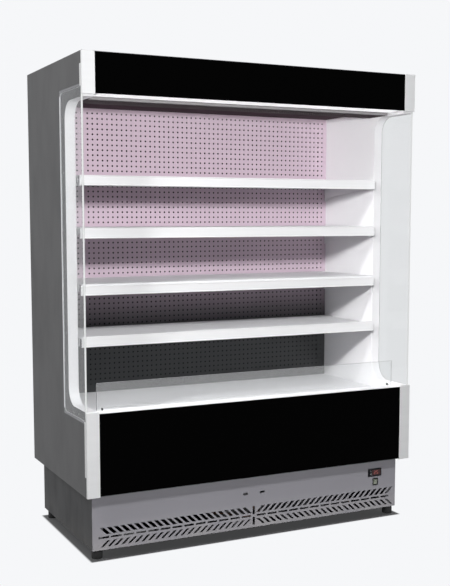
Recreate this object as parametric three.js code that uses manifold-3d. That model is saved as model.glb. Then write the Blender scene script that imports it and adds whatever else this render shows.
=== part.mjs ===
// Open multideck display fridge: insulated cabinet with four shelves, side windows, a night blind in the
// header, a fan-blown evaporator under the deck and a condensing unit in the plinth.
// Millimetres. +X is right, +Y is back, +Z is up. The origin is on the floor under the middle of the cabinet.
import * as THREE from 'three';
import { mergeVertices } from 'three/addons/utils/BufferGeometryUtils.js';
import Module from 'manifold-3d';

const wasm = await Module();
wasm.setup();

// ---------- driving dimensions ----------
const WIDTH = 1500;
const DEPTH = 750;
const HEIGHT = 1946;
const WALL = 50; // thickness of each end wall
const SKIN = 2; // outer steel sheet
const SHEET = 2; // inner steel sheet
const GAP = 0.3; // clearance between neighbouring pieces
const BODY_BOTTOM = 261; // underside of the insulated body
const FOAM = 48; // thickness of the insulated body's walls

const FRONT = -DEPTH / 2;
const BACK = DEPTH / 2;
const INSIDE = WIDTH / 2 - WALL; // half width between the end walls

const CAP_WIDTH = 52; // white end pieces of header and lower front
const CAP_THICKNESS = 12;
const CAP_FLANGE = { reach: 28, headerLow: 1818.3, headerHigh: 1900, lowerLow: 340, lowerHigh: 557.7 };
const HEADER_LOW = 1792; // underside of the header
const HEADER_CAP_LOW = 1789;
const LOWER_PANEL_LOW = 267;
const LOWER_PANEL_HIGH = 587;
const SILL_TOP = 590;
const LOWER_CAP_HIGH = 594;

const WINDOW = { back: 230, low: 594, high: 1780, radius: 70 }; // opening in the end wall's inner layer
const PANE = { front: 14, back: 275, low: 558, high: 1818, thickness: 8 };
const TRIM = 9; // width of the bright strip round the pane

const BACK_PANEL_Y = 640; // front face of the perforated panel, behind the front plane
const CEILING_Z = 1807;
const DECK_Z = 558;
const SHELF = {
  heights: [1500, 1294, 1070, 852], // top of each tray
  railLow: [1460, 1251, 1025, 818], // lower edge of each price rail
  railHeight: [40, 43, 38.5, 43],
  front: 212,
  back: 632,
  halfWidth: 688,
  lip: 30,
};
const RAIL = { front: 206, halfWidth: 692 };
const SLOT_PITCH = 50; // upright slots that the shelf brackets hook into

const PLINTH = { halfWidth: 716, front: 51, back: 719, bottom: 35 };
const FOOT = { radius: 22, x: 690, front: 75, back: 675, stem: 5 };

const BLIND = { y: 98, z: 1850, radius: 20, halfWidth: 690, barLow: 1781, barHigh: 1795.7 };

const COLOUR = {
  grey: 0x6f6f72, white: 0xf1f1f1, black: 0x050505, glass: 0xdfe9ea,
  steel: 0x8d8d90, plinth: 0x77777d, lilac: 0xb9aeb6, aluminium: 0xb9bcc0,
  lamp: 0xffffff, cloth: 0xc9ccd0, green: 0x69d36a, darkPlastic: 0x17181a,
};

// ---------- helpers ----------
const object = new THREE.Group();
const finish = (color, roughness = 0.5, metalness = 0) =>
  new THREE.MeshStandardMaterial({ color, roughness, metalness });

/** Distance behind the front plane, as a Y coordinate. */
const behind = (distance) => FRONT + distance;

/** Adds a named mesh to the object, at a place. */
function add(name, geometry, material, position = [0, 0, 0]) {
  const mesh = new THREE.Mesh(geometry, material);
  mesh.name = name;
  mesh.position.set(...position);
  object.add(mesh);
}

/** A closed geometry as a solid for cutting and joining. */
function solid(geometry) {
  const bare = geometry.clone();
  bare.deleteAttribute('normal');
  bare.deleteAttribute('uv');
  const merged = mergeVertices(bare, 1e-4);
  return new wasm.Manifold(new wasm.Mesh({
    numProp: 3,
    vertProperties: new Float32Array(merged.attributes.position.array),
    triVerts: new Uint32Array(merged.index.array),
  }));
}

/** A solid as a geometry. */
function geometryOf(body) {
  const mesh = body.getMesh();
  const geometry = new THREE.BufferGeometry();
  geometry.setAttribute('position', new THREE.BufferAttribute(new Float32Array(mesh.vertProperties), 3));
  geometry.setIndex(new THREE.BufferAttribute(new Uint32Array(mesh.triVerts), 1));
  geometry.computeVertexNormals();
  return geometry;
}

const join = (parts) => geometryOf(parts.map(solid).reduce((all, part) => all.add(part)));
const cut = (base, tools) => geometryOf(tools.map(solid).reduce((left, tool) => left.subtract(tool), solid(base)));

/** A box between two corners. */
function block(x0, x1, y0, y1, z0, z1) {
  const box = new THREE.BoxGeometry(x1 - x0, y1 - y0, z1 - z0);
  return box.translate((x0 + x1) / 2, (y0 + y1) / 2, (z0 + z1) / 2);
}

/** A round bar from a point along an axis. */
function bar(radius, length, centre, axis = 'z', sides = 24) {
  const rod = new THREE.CylinderGeometry(radius, radius, length, sides);
  if (axis === 'z') rod.rotateX(Math.PI / 2);
  if (axis === 'x') rod.rotateZ(Math.PI / 2);
  return rod.translate(...centre);
}

const shapeOf = (points) => new THREE.Shape(points.map(([u, v]) => new THREE.Vector2(u, v)));

/** Extrudes a shape drawn in (distance behind the front plane, height) along X from x0 to x1. */
function alongX(shape, x0, x1) {
  const body = new THREE.ExtrudeGeometry(shape, { depth: x1 - x0, bevelEnabled: false, curveSegments: 8 });
  const turn = new THREE.Matrix4().makeBasis(
    new THREE.Vector3(0, 1, 0), new THREE.Vector3(0, 0, 1), new THREE.Vector3(1, 0, 0));
  return body.applyMatrix4(turn).translate(x0, FRONT, 0);
}

/** Extrudes a shape drawn in (x, height) from y1 forwards to y0. */
function alongY(shape, y0, y1) {
  const body = new THREE.ExtrudeGeometry(shape, { depth: y1 - y0, bevelEnabled: false, curveSegments: 8 });
  return body.rotateX(Math.PI / 2).translate(0, y1, 0);
}

/** Extrudes a shape drawn in (x, y) upwards from z0 to z1. */
function alongZ(shape, z0, z1) {
  const body = new THREE.ExtrudeGeometry(shape, { depth: z1 - z0, bevelEnabled: false, curveSegments: 8 });
  return body.translate(0, 0, z0);
}

/** A rectangle as a shape. */
const rectangle = (u0, u1, v0, v1) => shapeOf([[u0, v0], [u1, v0], [u1, v1], [u0, v1]]);

/** The inclined slot of a louvre pattern: a parallelogram of a given width between two heights. */
function slantedSlot(xLow, xHigh, zLow, zHigh, width) {
  const half = width / 2;
  return shapeOf([[xLow - half, zLow], [xLow + half, zLow], [xHigh + half, zHigh], [xHigh - half, zHigh]]);
}

/** An upright plate between two Y planes, drawn in (x, height), with holes punched right through it. */
function punchedPlate(outline, holes, y0, y1) {
  return cut(alongY(outline, y0, y1), holes.map((hole) => alongY(hole, y0 - 5, y1 + 5)));
}

/** A flat plate between two heights, drawn in (x, y), with holes punched right through it. */
function punchedSheet(outline, holes, z0, z1) {
  return cut(alongZ(outline, z0, z1), holes.map((hole) => alongZ(hole, z0 - 5, z1 + 5)));
}

/** The two ends of the cabinet: -1 is left and 1 is right. Gives [low x, high x] for a span measured outwards. */
const SIDES = [['left', -1], ['right', 1]];
const span = (side, from, to) => (side < 0 ? [-to, -from] : [from, to]);

// ---------- end walls ----------
/** A pocket open to the front, with round rear corners, as a cutting outline. */
function windowOutline({ back, low, high, radius }, front = -40) {
  const shape = new THREE.Shape();
  shape.moveTo(front, low);
  shape.lineTo(back - radius, low);
  shape.absarc(back - radius, low + radius, radius, -Math.PI / 2, 0, false);
  shape.absarc(back - radius, high - radius, radius, 0, Math.PI / 2, false);
  shape.lineTo(front, high);
  shape.closePath();
  return shape;
}

/** The outer steel sheet of an end, cut round the pane and stepped round the flanges of the white caps. */
function endSkinShape() {
  const edge = CAP_THICKNESS + GAP;
  const step = CAP_FLANGE.reach + GAP;
  const paneBack = PANE.back + TRIM + GAP;
  return shapeOf([
    [edge, BODY_BOTTOM], [DEPTH, BODY_BOTTOM], [DEPTH, HEIGHT], [edge, HEIGHT],
    [edge, CAP_FLANGE.headerHigh + GAP], [step, CAP_FLANGE.headerHigh + GAP],
    [step, PANE.high + TRIM + GAP], [paneBack, PANE.high + TRIM + GAP],
    [paneBack, PANE.low - TRIM - GAP], [step, PANE.low - TRIM - GAP],
    [step, CAP_FLANGE.lowerLow - GAP], [edge, CAP_FLANGE.lowerLow - GAP],
  ]);
}

/** The insulated end wall with its white liner: window opening inside, rebate for the pane outside. */
function endWall(side) {
  const outer = WIDTH / 2 - SKIN - GAP;
  const [x0, x1] = span(side, INSIDE, outer);
  const wall = block(x0, x1, behind(CAP_THICKNESS + GAP), BACK - SKIN - GAP, BODY_BOTTOM + GAP, HEIGHT - SKIN - GAP);
  const opening = alongX(windowOutline(WINDOW), -WIDTH, WIDTH);
  const rebateFloor = WIDTH / 2 - PANE.thickness - GAP;
  const [r0, r1] = span(side, rebateFloor, WIDTH);
  const rebate = block(r0, r1, behind(-40), behind(PANE.back + GAP), PANE.low - GAP, PANE.high + GAP);
  return cut(wall, [opening, rebate]);
}

/** The bright strip round three sides of the pane. */
function paneTrimShape() {
  const front = CAP_FLANGE.reach + 2 * GAP;
  const back = PANE.back + GAP;
  return shapeOf([
    [front, PANE.low - TRIM], [back + TRIM - GAP, PANE.low - TRIM],
    [back + TRIM - GAP, PANE.high + TRIM], [front, PANE.high + TRIM],
    [front, PANE.high + GAP], [back, PANE.high + GAP], [back, PANE.low - GAP], [front, PANE.low - GAP],
  ]);
}

function buildEnds() {
  for (const [name, side] of SIDES) {
    const half = WIDTH / 2;
    add(`${name}_end_skin`, alongX(endSkinShape(), ...span(side, half - SKIN, half)), finish(COLOUR.grey, 0.45, 0.3));
    add(`${name}_end_wall`, endWall(side), finish(COLOUR.white, 0.4));
    const [g0, g1] = span(side, half - PANE.thickness, half);
    const pane = block(g0, g1, behind(PANE.front), behind(PANE.back), PANE.low, PANE.high);
    add(`${name}_side_glass`, pane, finish(COLOUR.glass, 0.05));
    add(`${name}_pane_trim`, alongX(paneTrimShape(), ...span(side, half - SKIN, half)), finish(COLOUR.aluminium, 0.3, 0.8));
  }
}

/** A white cap: a front plate with a narrow flange that wraps onto the side. */
function capGeometry(side, low, high, flangeLow, flangeHigh) {
  const [x0, x1] = span(side, WIDTH / 2 - CAP_WIDTH, WIDTH / 2);
  const [f0, f1] = span(side, WIDTH / 2 - SKIN, WIDTH / 2);
  const plate = block(x0, x1, FRONT, behind(CAP_THICKNESS), low, high);
  const flange = block(f0, f1, behind(CAP_THICKNESS - 1), behind(CAP_FLANGE.reach), flangeLow, flangeHigh);
  return join([plate, flange]);
}

function buildCaps() {
  const white = finish(COLOUR.white, 0.35);
  const { headerLow, headerHigh, lowerLow, lowerHigh } = CAP_FLANGE;
  for (const [name, side] of SIDES) {
    add(`${name}_header_cap`, capGeometry(side, HEADER_CAP_LOW, HEIGHT, headerLow, headerHigh), white);
    add(`${name}_lower_cap`, capGeometry(side, BODY_BOTTOM, LOWER_CAP_HIGH, lowerLow, lowerHigh), white);
  }
}

// ---------- insulated body, rear and roof ----------
/** Foamed body seen from the side: tub front, floor, rear wall, roof and the drop in front of the air duct. */
function buildBody() {
  const rear = DEPTH - SKIN - GAP;
  const top = HEIGHT - SKIN - GAP;
  const floor = BODY_BOTTOM + GAP;
  const ductFront = 130;
  const tubFront = CAP_THICKNESS + GAP;
  const outline = shapeOf([
    [tubFront, floor], [rear, floor], [rear, top], [ductFront, top],
    [ductFront, 1796], [ductFront + 18, 1796], [ductFront + 18, top - FOAM],
    [rear - FOAM, top - FOAM], [rear - FOAM, floor + FOAM],
    [52, floor + FOAM], [52, LOWER_PANEL_HIGH - GAP], [tubFront, LOWER_PANEL_HIGH - GAP],
  ]);
  add('insulated_body', alongX(outline, -INSIDE + GAP, INSIDE - GAP), finish(COLOUR.white, 0.5));
  const sheetHalf = WIDTH / 2 - SKIN - GAP;
  const rearPanel = block(-sheetHalf, sheetHalf, BACK - SKIN, BACK, BODY_BOTTOM, HEIGHT - SKIN - GAP);
  add('rear_panel', rearPanel, finish(COLOUR.steel, 0.5, 0.5));
  // The roof sheet reaches forward between the header caps to cover the top of the header.
  const tongue = WIDTH / 2 - CAP_WIDTH - GAP;
  const shoulder = behind(CAP_THICKNESS + GAP);
  const roof = shapeOf([
    [-sheetHalf, shoulder], [-tongue, shoulder], [-tongue, behind(GAP)], [tongue, behind(GAP)],
    [tongue, shoulder], [sheetHalf, shoulder], [sheetHalf, BACK], [-sheetHalf, BACK],
  ]);
  add('roof_panel', alongZ(roof, HEIGHT - SKIN, HEIGHT), finish(COLOUR.steel, 0.5, 0.5));
}

// ---------- header ----------
function buildHeader() {
  const panelHalf = WIDTH / 2 - CAP_WIDTH - GAP;
  const panel = block(-panelHalf, panelHalf, FRONT, behind(4), HEADER_LOW, HEIGHT - SKIN - GAP);
  add('header_front_panel', panel, finish(COLOUR.black, 0.12));

  const bottomEnd = 106;
  const lampFront = 12;
  const lampBack = 100;
  const half = INSIDE - 2 * GAP;
  const housingHalf = WIDTH / 2 - CAP_WIDTH - GAP;
  const profile = shapeOf([
    [4.3, HEADER_LOW], [bottomEnd, HEADER_LOW], [bottomEnd, HEADER_LOW + 12],
    [bottomEnd - SHEET, HEADER_LOW + 12], [bottomEnd - SHEET, HEADER_LOW + SHEET],
    [4.3 + SHEET, HEADER_LOW + SHEET], [4.3 + SHEET, HEIGHT - SKIN - GAP], [4.3, HEIGHT - SKIN - GAP],
  ]);
  const lampHalf = 680;
  const lampHole = block(-lampHalf - GAP, lampHalf + GAP, behind(lampFront - GAP), behind(lampBack + GAP),
    HEADER_LOW - 5, HEADER_LOW + 5);
  add('header_housing', cut(alongX(profile, -housingHalf, housingHalf), [lampHole]), finish(COLOUR.white, 0.4));
  const lamp = block(-lampHalf, lampHalf, behind(lampFront), behind(lampBack), HEADER_LOW, HEADER_LOW + 8);
  add('header_lamp', lamp, finish(COLOUR.lamp, 0.6));

  // Ceiling over the display space, with a fold that carries the back edge of the air grille.
  const ceiling = shapeOf([
    [270, 1786], [272, 1786], [272, CEILING_Z], [BACK_PANEL_Y + 1, CEILING_Z],
    [BACK_PANEL_Y + 1, CEILING_Z + SHEET], [270, CEILING_Z + SHEET],
  ]);
  add('canopy_ceiling', alongX(ceiling, -half, half), finish(COLOUR.steel, 0.5));

  // Air discharge grille: a flat comb of cells that straightens the cold air curtain.
  const holes = [];
  const cells = 18;
  const rows = 2;
  const rowPitch = 56;
  const cellPitch = (2 * half - 20) / cells;
  for (let column = 0; column < cells; column += 1) {
    const x = -half + 10 + column * cellPitch;
    for (let row = 0; row < rows; row += 1) {
      const y = behind(155 + row * rowPitch);
      holes.push(rectangle(x + 4, x + cellPitch - 4, y, y + rowPitch - 5));
    }
  }
  const comb = punchedSheet(rectangle(-half, half, behind(149), behind(269)), holes, 1782, 1794);
  add('air_discharge_grille', comb, finish(COLOUR.steel, 0.6));
}

// ---------- night blind ----------
function buildBlind() {
  const { radius, halfWidth, barLow, barHigh } = BLIND;
  const end = INSIDE - GAP;
  const tube = [[0, -end], [6, -end], [6, -halfWidth], [radius, -halfWidth],
    [radius, halfWidth], [6, halfWidth], [6, end], [0, end]];
  const profile = tube.map(([r, along]) => new THREE.Vector2(r, along));
  const roller = new THREE.LatheGeometry(profile, 24).rotateZ(Math.PI / 2);
  add('blind_roller', roller, finish(COLOUR.aluminium, 0.4, 0.6), [0, behind(BLIND.y), BLIND.z]);

  const clothY = BLIND.y + radius + GAP;
  const cloth = block(-halfWidth + 10, halfWidth - 10, behind(clothY), behind(clothY + 0.8), barHigh + GAP, BLIND.z);
  add('blind_cloth', cloth, finish(COLOUR.cloth, 0.8));

  const middle = clothY + 0.4;
  const grip = shapeOf([
    [middle - 9, barHigh - 5], [middle - 2, barLow + 3], [middle - 2, barLow], [middle + 2, barLow],
    [middle + 2, barLow + 3], [middle + 9, barHigh - 5], [middle + 9, barHigh], [middle - 9, barHigh],
  ]);
  add('blind_pull_bar', alongX(grip, -halfWidth + 5, halfWidth - 5), finish(COLOUR.white, 0.4));
}

// ---------- display space ----------
/** Heights of the slots that the shelf brackets hook into. */
function slotHeights() {
  const heights = [];
  for (let z = 607; z < 1770; z += SLOT_PITCH) heights.push(z);
  return heights;
}

const HOOK_X = 693; // middle of each bracket plate
const BRACKET_THICKNESS = 3;
const HOOK_DROP = 60; // how far below its tray a bracket hooks in, about

/** The slot height nearest to where a shelf's hook wants to be. */
function slotFor(height) {
  return slotHeights().reduce((best, z) => (Math.abs(z - height) < Math.abs(best - height) ? z : best));
}

/** The two columns of bracket slots, one list for each side, at the given heights. */
function bracketSlots(heights) {
  const halfWidth = 3;
  const halfHeight = 16;
  return [-1, 1].map((side) => heights.map((z) => rectangle(
    side * HOOK_X - halfWidth, side * HOOK_X + halfWidth, z - halfHeight, z + halfHeight)));
}

function buildBackPanel() {
  const half = INSIDE - 2 * GAP;
  const y = behind(BACK_PANEL_Y);
  const used = SHELF.heights.map((top) => slotFor(top - HOOK_DROP));
  const outline = rectangle(-half, half, 548, CEILING_Z - GAP);
  const panel = punchedPlate(outline, bracketSlots(used).flat(), y, y + SHEET);
  add('perforated_back_panel', panel, finish(COLOUR.lilac, 0.5));

  // Shelf uprights behind the panel: two slotted posts tied by a rail at each end.
  const posts = [];
  const front = y + SHEET + GAP;
  const slots = bracketSlots(slotHeights());
  [-1, 1].forEach((side, index) => {
    const [x0, x1] = span(side, 664, half);
    posts.push(punchedPlate(rectangle(x0, x1, 548, 1800), slots[index], front, front + 3));
    posts.push(block(...span(side, 664, 667), front + 2, front + 30, 548, 1800));
  });
  posts.push(block(-665, 665, front + 2, front + 5, 560, 590));
  posts.push(block(-665, 665, front + 2, front + 5, 1760, 1790));
  add('shelf_uprights', join(posts), finish(COLOUR.white, 0.5, 0.2));
}

/** One shelf: a folded tray on two cantilever brackets that hook into the uprights. Built about its top at z = 0. */
function shelfGeometry(hookDrop) {
  const { front, back, halfWidth, lip } = SHELF;
  const inner = SHEET;
  const tray = shapeOf([
    [front, -lip], [front + inner, -lip], [front + inner, -inner], [back - inner, -inner],
    [back - inner, -lip], [back, -lip], [back, 0], [front, 0],
  ]);
  const parts = [alongX(tray, -halfWidth, halfWidth)];
  const hookTop = hookDrop + 10;
  for (const side of [-1, 1]) {
    const bracket = shapeOf([
      [front + 20, -lip], [back - 40, -lip - 40], [BACK_PANEL_Y - 2, -lip - 60], [BACK_PANEL_Y - 2, hookDrop - 10],
      [BACK_PANEL_Y + 9, hookDrop - 14], [BACK_PANEL_Y + 9, hookTop - 2], [BACK_PANEL_Y - 2, hookTop],
      [BACK_PANEL_Y - 2, -1], [front + 20, -1],
    ]);
    const [x0, x1] = span(side, HOOK_X - BRACKET_THICKNESS / 2, HOOK_X + BRACKET_THICKNESS / 2);
    parts.push(alongX(bracket, x0, x1));
    const [b0, b1] = span(side, halfWidth - 1, HOOK_X);
    parts.push(block(b0, b1, behind(front + 60), behind(back - 60), -14, -1));
  }
  return join(parts);
}

/** The price rail that clips on the front of a shelf: an open channel with a back leg. */
function railGeometry(height) {
  const { front } = RAIL;
  const back = SHELF.front - GAP;
  const rail = shapeOf([
    [front, 0], [back, 0], [back, 3], [front + 2, 3], [front + 2, height - 3],
    [back, height - 3], [back, height], [front, height],
  ]);
  return alongX(rail, -RAIL.halfWidth, RAIL.halfWidth);
}

function buildShelves() {
  SHELF.heights.forEach((top, index) => {
    const number = index + 1;
    const hookDrop = slotFor(top - HOOK_DROP) - top;
    add(`shelf_${number}`, shelfGeometry(hookDrop), finish(COLOUR.white, 0.4), [0, 0, top]);
    const rail = railGeometry(SHELF.railHeight[index]);
    add(`price_rail_${number}`, rail, finish(COLOUR.white, 0.35), [0, 0, SHELF.railLow[index]]);
  });
}

/** Deck over the evaporator, return air grille, sill and riser glass. */
function buildDeck() {
  const half = INSIDE - 2 * GAP;
  const deckFront = 201;
  const deckBack = 638;
  const lip = 28;
  const deck = shapeOf([
    [deckFront, DECK_Z - lip], [deckFront + SHEET, DECK_Z - lip], [deckFront + SHEET, DECK_Z - SHEET],
    [deckBack - SHEET, DECK_Z - SHEET], [deckBack - SHEET, DECK_Z - lip], [deckBack, DECK_Z - lip],
    [deckBack, DECK_Z], [deckFront, DECK_Z],
  ]);
  add('display_deck', alongX(deck, -half, half), finish(COLOUR.white, 0.4));

  const slots = [];
  const slotCount = 40;
  const pitch = (2 * half - 20) / slotCount;
  for (let index = 0; index < slotCount; index += 1) {
    const x = -half + 10 + (index + 0.5) * pitch;
    slots.push(rectangle(x - 8, x + 8, behind(84), behind(184)));
  }
  const intake = punchedSheet(rectangle(-half, half, behind(68), behind(200.6)), slots, DECK_Z - SHEET, DECK_Z);
  add('return_air_grille', intake, finish(COLOUR.white, 0.5));

  const groove = { front: 55.7, back: 62.3, floor: 574 };
  const sill = shapeOf([
    [0.5, LOWER_PANEL_HIGH + GAP], [groove.front - 3.4, LOWER_PANEL_HIGH + GAP],
    [groove.front - 3.4, groove.floor - 4], [groove.back + 3.4, groove.floor - 4],
    [groove.back + 3.4, SILL_TOP], [groove.back, SILL_TOP], [groove.back, groove.floor],
    [groove.front, groove.floor], [groove.front, SILL_TOP], [0.5, SILL_TOP],
  ]);
  const sillHalf = WIDTH / 2 - CAP_WIDTH - GAP;
  add('front_sill', alongX(sill, -sillHalf, sillHalf), finish(COLOUR.white, 0.35));
  const riser = block(-690, 690, behind(56), behind(62), groove.floor + GAP, 698);
  add('riser_glass', riser, finish(COLOUR.glass, 0.05));
  const panel = shapeOf([
    [0, LOWER_PANEL_LOW], [CAP_THICKNESS, LOWER_PANEL_LOW], [CAP_THICKNESS, LOWER_PANEL_LOW + SHEET],
    [SHEET, LOWER_PANEL_LOW + SHEET], [SHEET, LOWER_PANEL_HIGH - SHEET],
    [CAP_THICKNESS, LOWER_PANEL_HIGH - SHEET], [CAP_THICKNESS, LOWER_PANEL_HIGH], [0, LOWER_PANEL_HIGH],
  ]);
  add('lower_front_panel', alongX(panel, -sillHalf, sillHalf), finish(COLOUR.black, 0.12));
}

// ---------- cooling in the tub ----------
/** A fan rotor about +Y through its origin: a hub with pitched blades. */
function fanGeometry(radius, blades, depth) {
  const hub = new THREE.CylinderGeometry(radius * 0.26, radius * 0.26, depth * 0.8, 20);
  const parts = [hub];
  for (let index = 0; index < blades; index += 1) {
    const blade = new THREE.BoxGeometry(radius * 0.8, 2, radius * 0.62);
    blade.rotateX(0.5).translate(radius * 0.58, 0, 0);
    parts.push(blade.rotateY((index / blades) * Math.PI * 2));
  }
  return join(parts);
}

const EVAPORATOR_FAN = { x: 300, z: 425, y: 241, radius: 72, hole: 80 };

function buildEvaporator() {
  const floor = BODY_BOTTOM + GAP + FOAM;
  const { x: fanX, z: fanZ, y: fanY, hole } = EVAPORATOR_FAN;
  const plateHalf = INSIDE - 2 * GAP;
  const y = behind(fanY);
  const spiders = [];
  const openings = [];
  for (const side of [-1, 1]) {
    openings.push(bar(hole, 20, [side * fanX, y, fanZ], 'y', 32));
    spiders.push(bar(24, 30, [side * fanX, behind(fanY + 36), fanZ], 'y', 20));
    for (const angle of [0, Math.PI / 2]) {
      const arm = new THREE.BoxGeometry(2 * hole + 8, 3, 8).rotateY(angle);
      spiders.push(arm.translate(side * fanX, behind(fanY + 24), fanZ));
    }
    for (const [dx, dz] of [[1, 0], [-1, 0], [0, 1], [0, -1]]) {
      const place = [side * fanX + dx * (hole + 3), behind(fanY + 12), fanZ + dz * (hole + 3)];
      spiders.push(bar(2.5, 26, place, 'y', 8));
    }
  }
  const blank = block(-plateHalf, plateHalf, y - 1, y + 1, floor + GAP, DECK_Z - SHEET - GAP);
  add('evaporator_fan_plate', join([cut(blank, openings), ...spiders]), finish(COLOUR.steel, 0.4, 0.7));
  for (const [name, side] of SIDES) {
    const rotor = fanGeometry(EVAPORATOR_FAN.radius, 5, 24);
    add(`${name}_evaporator_fan`, rotor, finish(COLOUR.darkPlastic, 0.5), [side * fanX, y, fanZ]);
  }

  // Finned coil: end plates and tube bends show at each end of the fin pack.
  const coil = { half: 560, front: 300, back: 520, low: floor + 20, high: 500 };
  const parts = [block(-coil.half, coil.half, behind(coil.front), behind(coil.back), coil.low, coil.high)];
  for (const side of [-1, 1]) {
    const [x0, x1] = span(side, coil.half - 1, coil.half + 3);
    parts.push(block(x0, x1, behind(coil.front - 8), behind(coil.back + 8), floor + GAP, coil.high + 8));
    for (let row = 0; row < 3; row += 1) {
      for (let column = 0; column < 3; column += 1) {
        const place = [side * (coil.half + 12), behind(coil.front + 45 + 65 * row), coil.low + 35 + 50 * column];
        parts.push(bar(5, 22, place, 'x', 8));
      }
    }
  }
  add('evaporator', join(parts), finish(COLOUR.aluminium, 0.4, 0.8));
}

// ---------- plinth ----------
const CONTROLLER = { x0: 568, x1: 638, z0: 184, z1: 219 };
const SWITCH = { x0: 593, x1: 621, z0: 143, z1: 175 };
const GRILLE = {
  centre: -5, highSlot: 17, lowSlot: 12.5, pitch: 28.4, lean: 28, first: 19, onLeft: 23, onRight: 24,
  dash: 43.5, dashPitch: 52.4, firstDash: 14, dashes: 13,
};
const GRILLE_ROWS = { low: [46.5, 71.5], dash: [81, 88.5], high: [97, 124.5], stemLow: [45, 79], stemHigh: [90, 126] };

/** The louvre pattern of the front grille: two rows of slanted slots either side of a row of dashes. */
function grilleSlots() {
  const { centre, highSlot, lowSlot, pitch, lean, first, onLeft, onRight } = GRILLE;
  const { dash, dashPitch, firstDash, dashes } = GRILLE;
  const rows = GRILLE_ROWS;
  const slots = [rows.stemLow, rows.stemHigh].map(([z0, z1]) => rectangle(centre - 5.5, centre + 5.5, z0, z1));
  for (const [side, count] of [[-1, onLeft], [1, onRight]]) {
    for (let index = 0; index < count; index += 1) {
      const x = centre + side * (first + index * pitch);
      slots.push(slantedSlot(x, x + side * lean, ...rows.high, highSlot));
      slots.push(slantedSlot(x + side * lean, x, ...rows.low, lowSlot));
    }
    for (let index = 0; index < dashes; index += 1) {
      const near = centre + side * (firstDash + index * dashPitch);
      const far = near + side * dash;
      slots.push(rectangle(Math.min(near, far), Math.max(near, far), ...rows.dash));
    }
  }
  return slots;
}

function buildPlinth() {
  const { halfWidth, front, back, bottom } = PLINTH;
  const holes = [
    ...grilleSlots(),
    rectangle(CONTROLLER.x0 + 3, CONTROLLER.x1 - 3, CONTROLLER.z0 + 3, CONTROLLER.z1 - 3),
    rectangle(SWITCH.x0 + 2, SWITCH.x1 - 2, SWITCH.z0 + 2, SWITCH.z1 - 2),
    rectangle(-54.5, -33, 177.5, 186.5),
    rectangle(24, 46.5, 177.5, 186.5),
  ];
  const y = behind(front);
  const panel = rectangle(-halfWidth, halfWidth, bottom, BODY_BOTTOM - GAP);
  add('plinth_front_panel', punchedPlate(panel, holes, y, y + SHEET), finish(COLOUR.plinth, 0.45, 0.3));

  // Sides and rear folded from one sheet, open to the front, with a vent field in the rear.
  const inner = halfWidth - SHEET;
  const y0 = y + SHEET + GAP;
  const y1 = behind(back);
  const sheet = shapeOf([
    [-halfWidth, y0], [-inner, y0], [-inner, y1 - SHEET], [inner, y1 - SHEET],
    [inner, y0], [halfWidth, y0], [halfWidth, y1], [-halfWidth, y1],
  ]);
  const vents = [];
  for (let index = 0; index < 24; index += 1) {
    const x = -460 + index * 40;
    vents.push(block(x - 6, x + 6, y1 - 20, y1 + 20, 80, 220));
  }
  vents.push(bar(11.3, 60, [620, y1, 120], 'y', 16));
  const surround = cut(alongZ(sheet, bottom, BODY_BOTTOM - GAP), vents);
  add('plinth_surround', surround, finish(COLOUR.plinth, 0.5, 0.3));

  // Gland for the mains lead: thread and nut inside the sheet, collar and dome outside, open bore.
  const bore = 7.5;
  const thread = 10.8;
  const collar = 16;
  const gland = [[bore, -12], [thread, -12], [thread, -7], [collar, -7], [collar, -2.3], [thread, -2.3],
    [thread, 0.3], [collar, 0.3], [collar, 5], [12.5, 12], [10, 15], [bore, 15], [bore, -12]];
  const glandBody = new THREE.LatheGeometry(gland.map(([r, along]) => new THREE.Vector2(r, along)), 16);
  add('cable_gland', glandBody, finish(COLOUR.darkPlastic, 0.6), [620, y1, 120]);
}

const AIR_INLET = { x0: -560, x1: -400, front: 140, back: 240 }; // cut in the base tray for cooling air

/** Base tray with corner posts that carry the body, and nuts for the feet. */
function buildBaseFrame() {
  const { halfWidth, front, back, bottom } = PLINTH;
  const x = halfWidth - SHEET - GAP;
  const y0 = behind(front + SHEET + 2 * GAP);
  const y1 = behind(back - SHEET - GAP);
  const top = BODY_BOTTOM - GAP;
  const parts = [block(-x, x, y0, y1, bottom, bottom + 3)];
  for (const side of [-1, 1]) {
    parts.push(block(...span(side, x - 3, x), y0, y1, bottom, bottom + 8));
    parts.push(block(...span(side, x - 42, x), y0, y0 + 3, bottom, top));
    parts.push(block(...span(side, x - 3, x), y0, y0 + 42, bottom, top));
    parts.push(block(...span(side, x - 42, x), y1 - 3, y1, bottom, top));
    parts.push(block(...span(side, x - 3, x), y1 - 42, y1, bottom, top));
    for (const distance of [FOOT.front, FOOT.back]) {
      parts.push(bar(11, 15, [side * FOOT.x, behind(distance), bottom + 7.5], 'z', 6));
    }
  }
  const holes = [];
  for (const side of [-1, 1]) {
    for (const distance of [FOOT.front, FOOT.back]) {
      holes.push(bar(FOOT.stem + 0.6, 60, [side * FOOT.x, behind(distance), bottom], 'z', 16));
    }
  }
  const { x0: inletLeft, x1: inletRight, front: inletFront, back: inletBack } = AIR_INLET;
  holes.push(block(inletLeft, inletRight, behind(inletFront), behind(inletBack), bottom - 15, bottom + 25));
  add('base_frame', cut(join(parts), holes), finish(COLOUR.steel, 0.5, 0.5));
}

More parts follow.
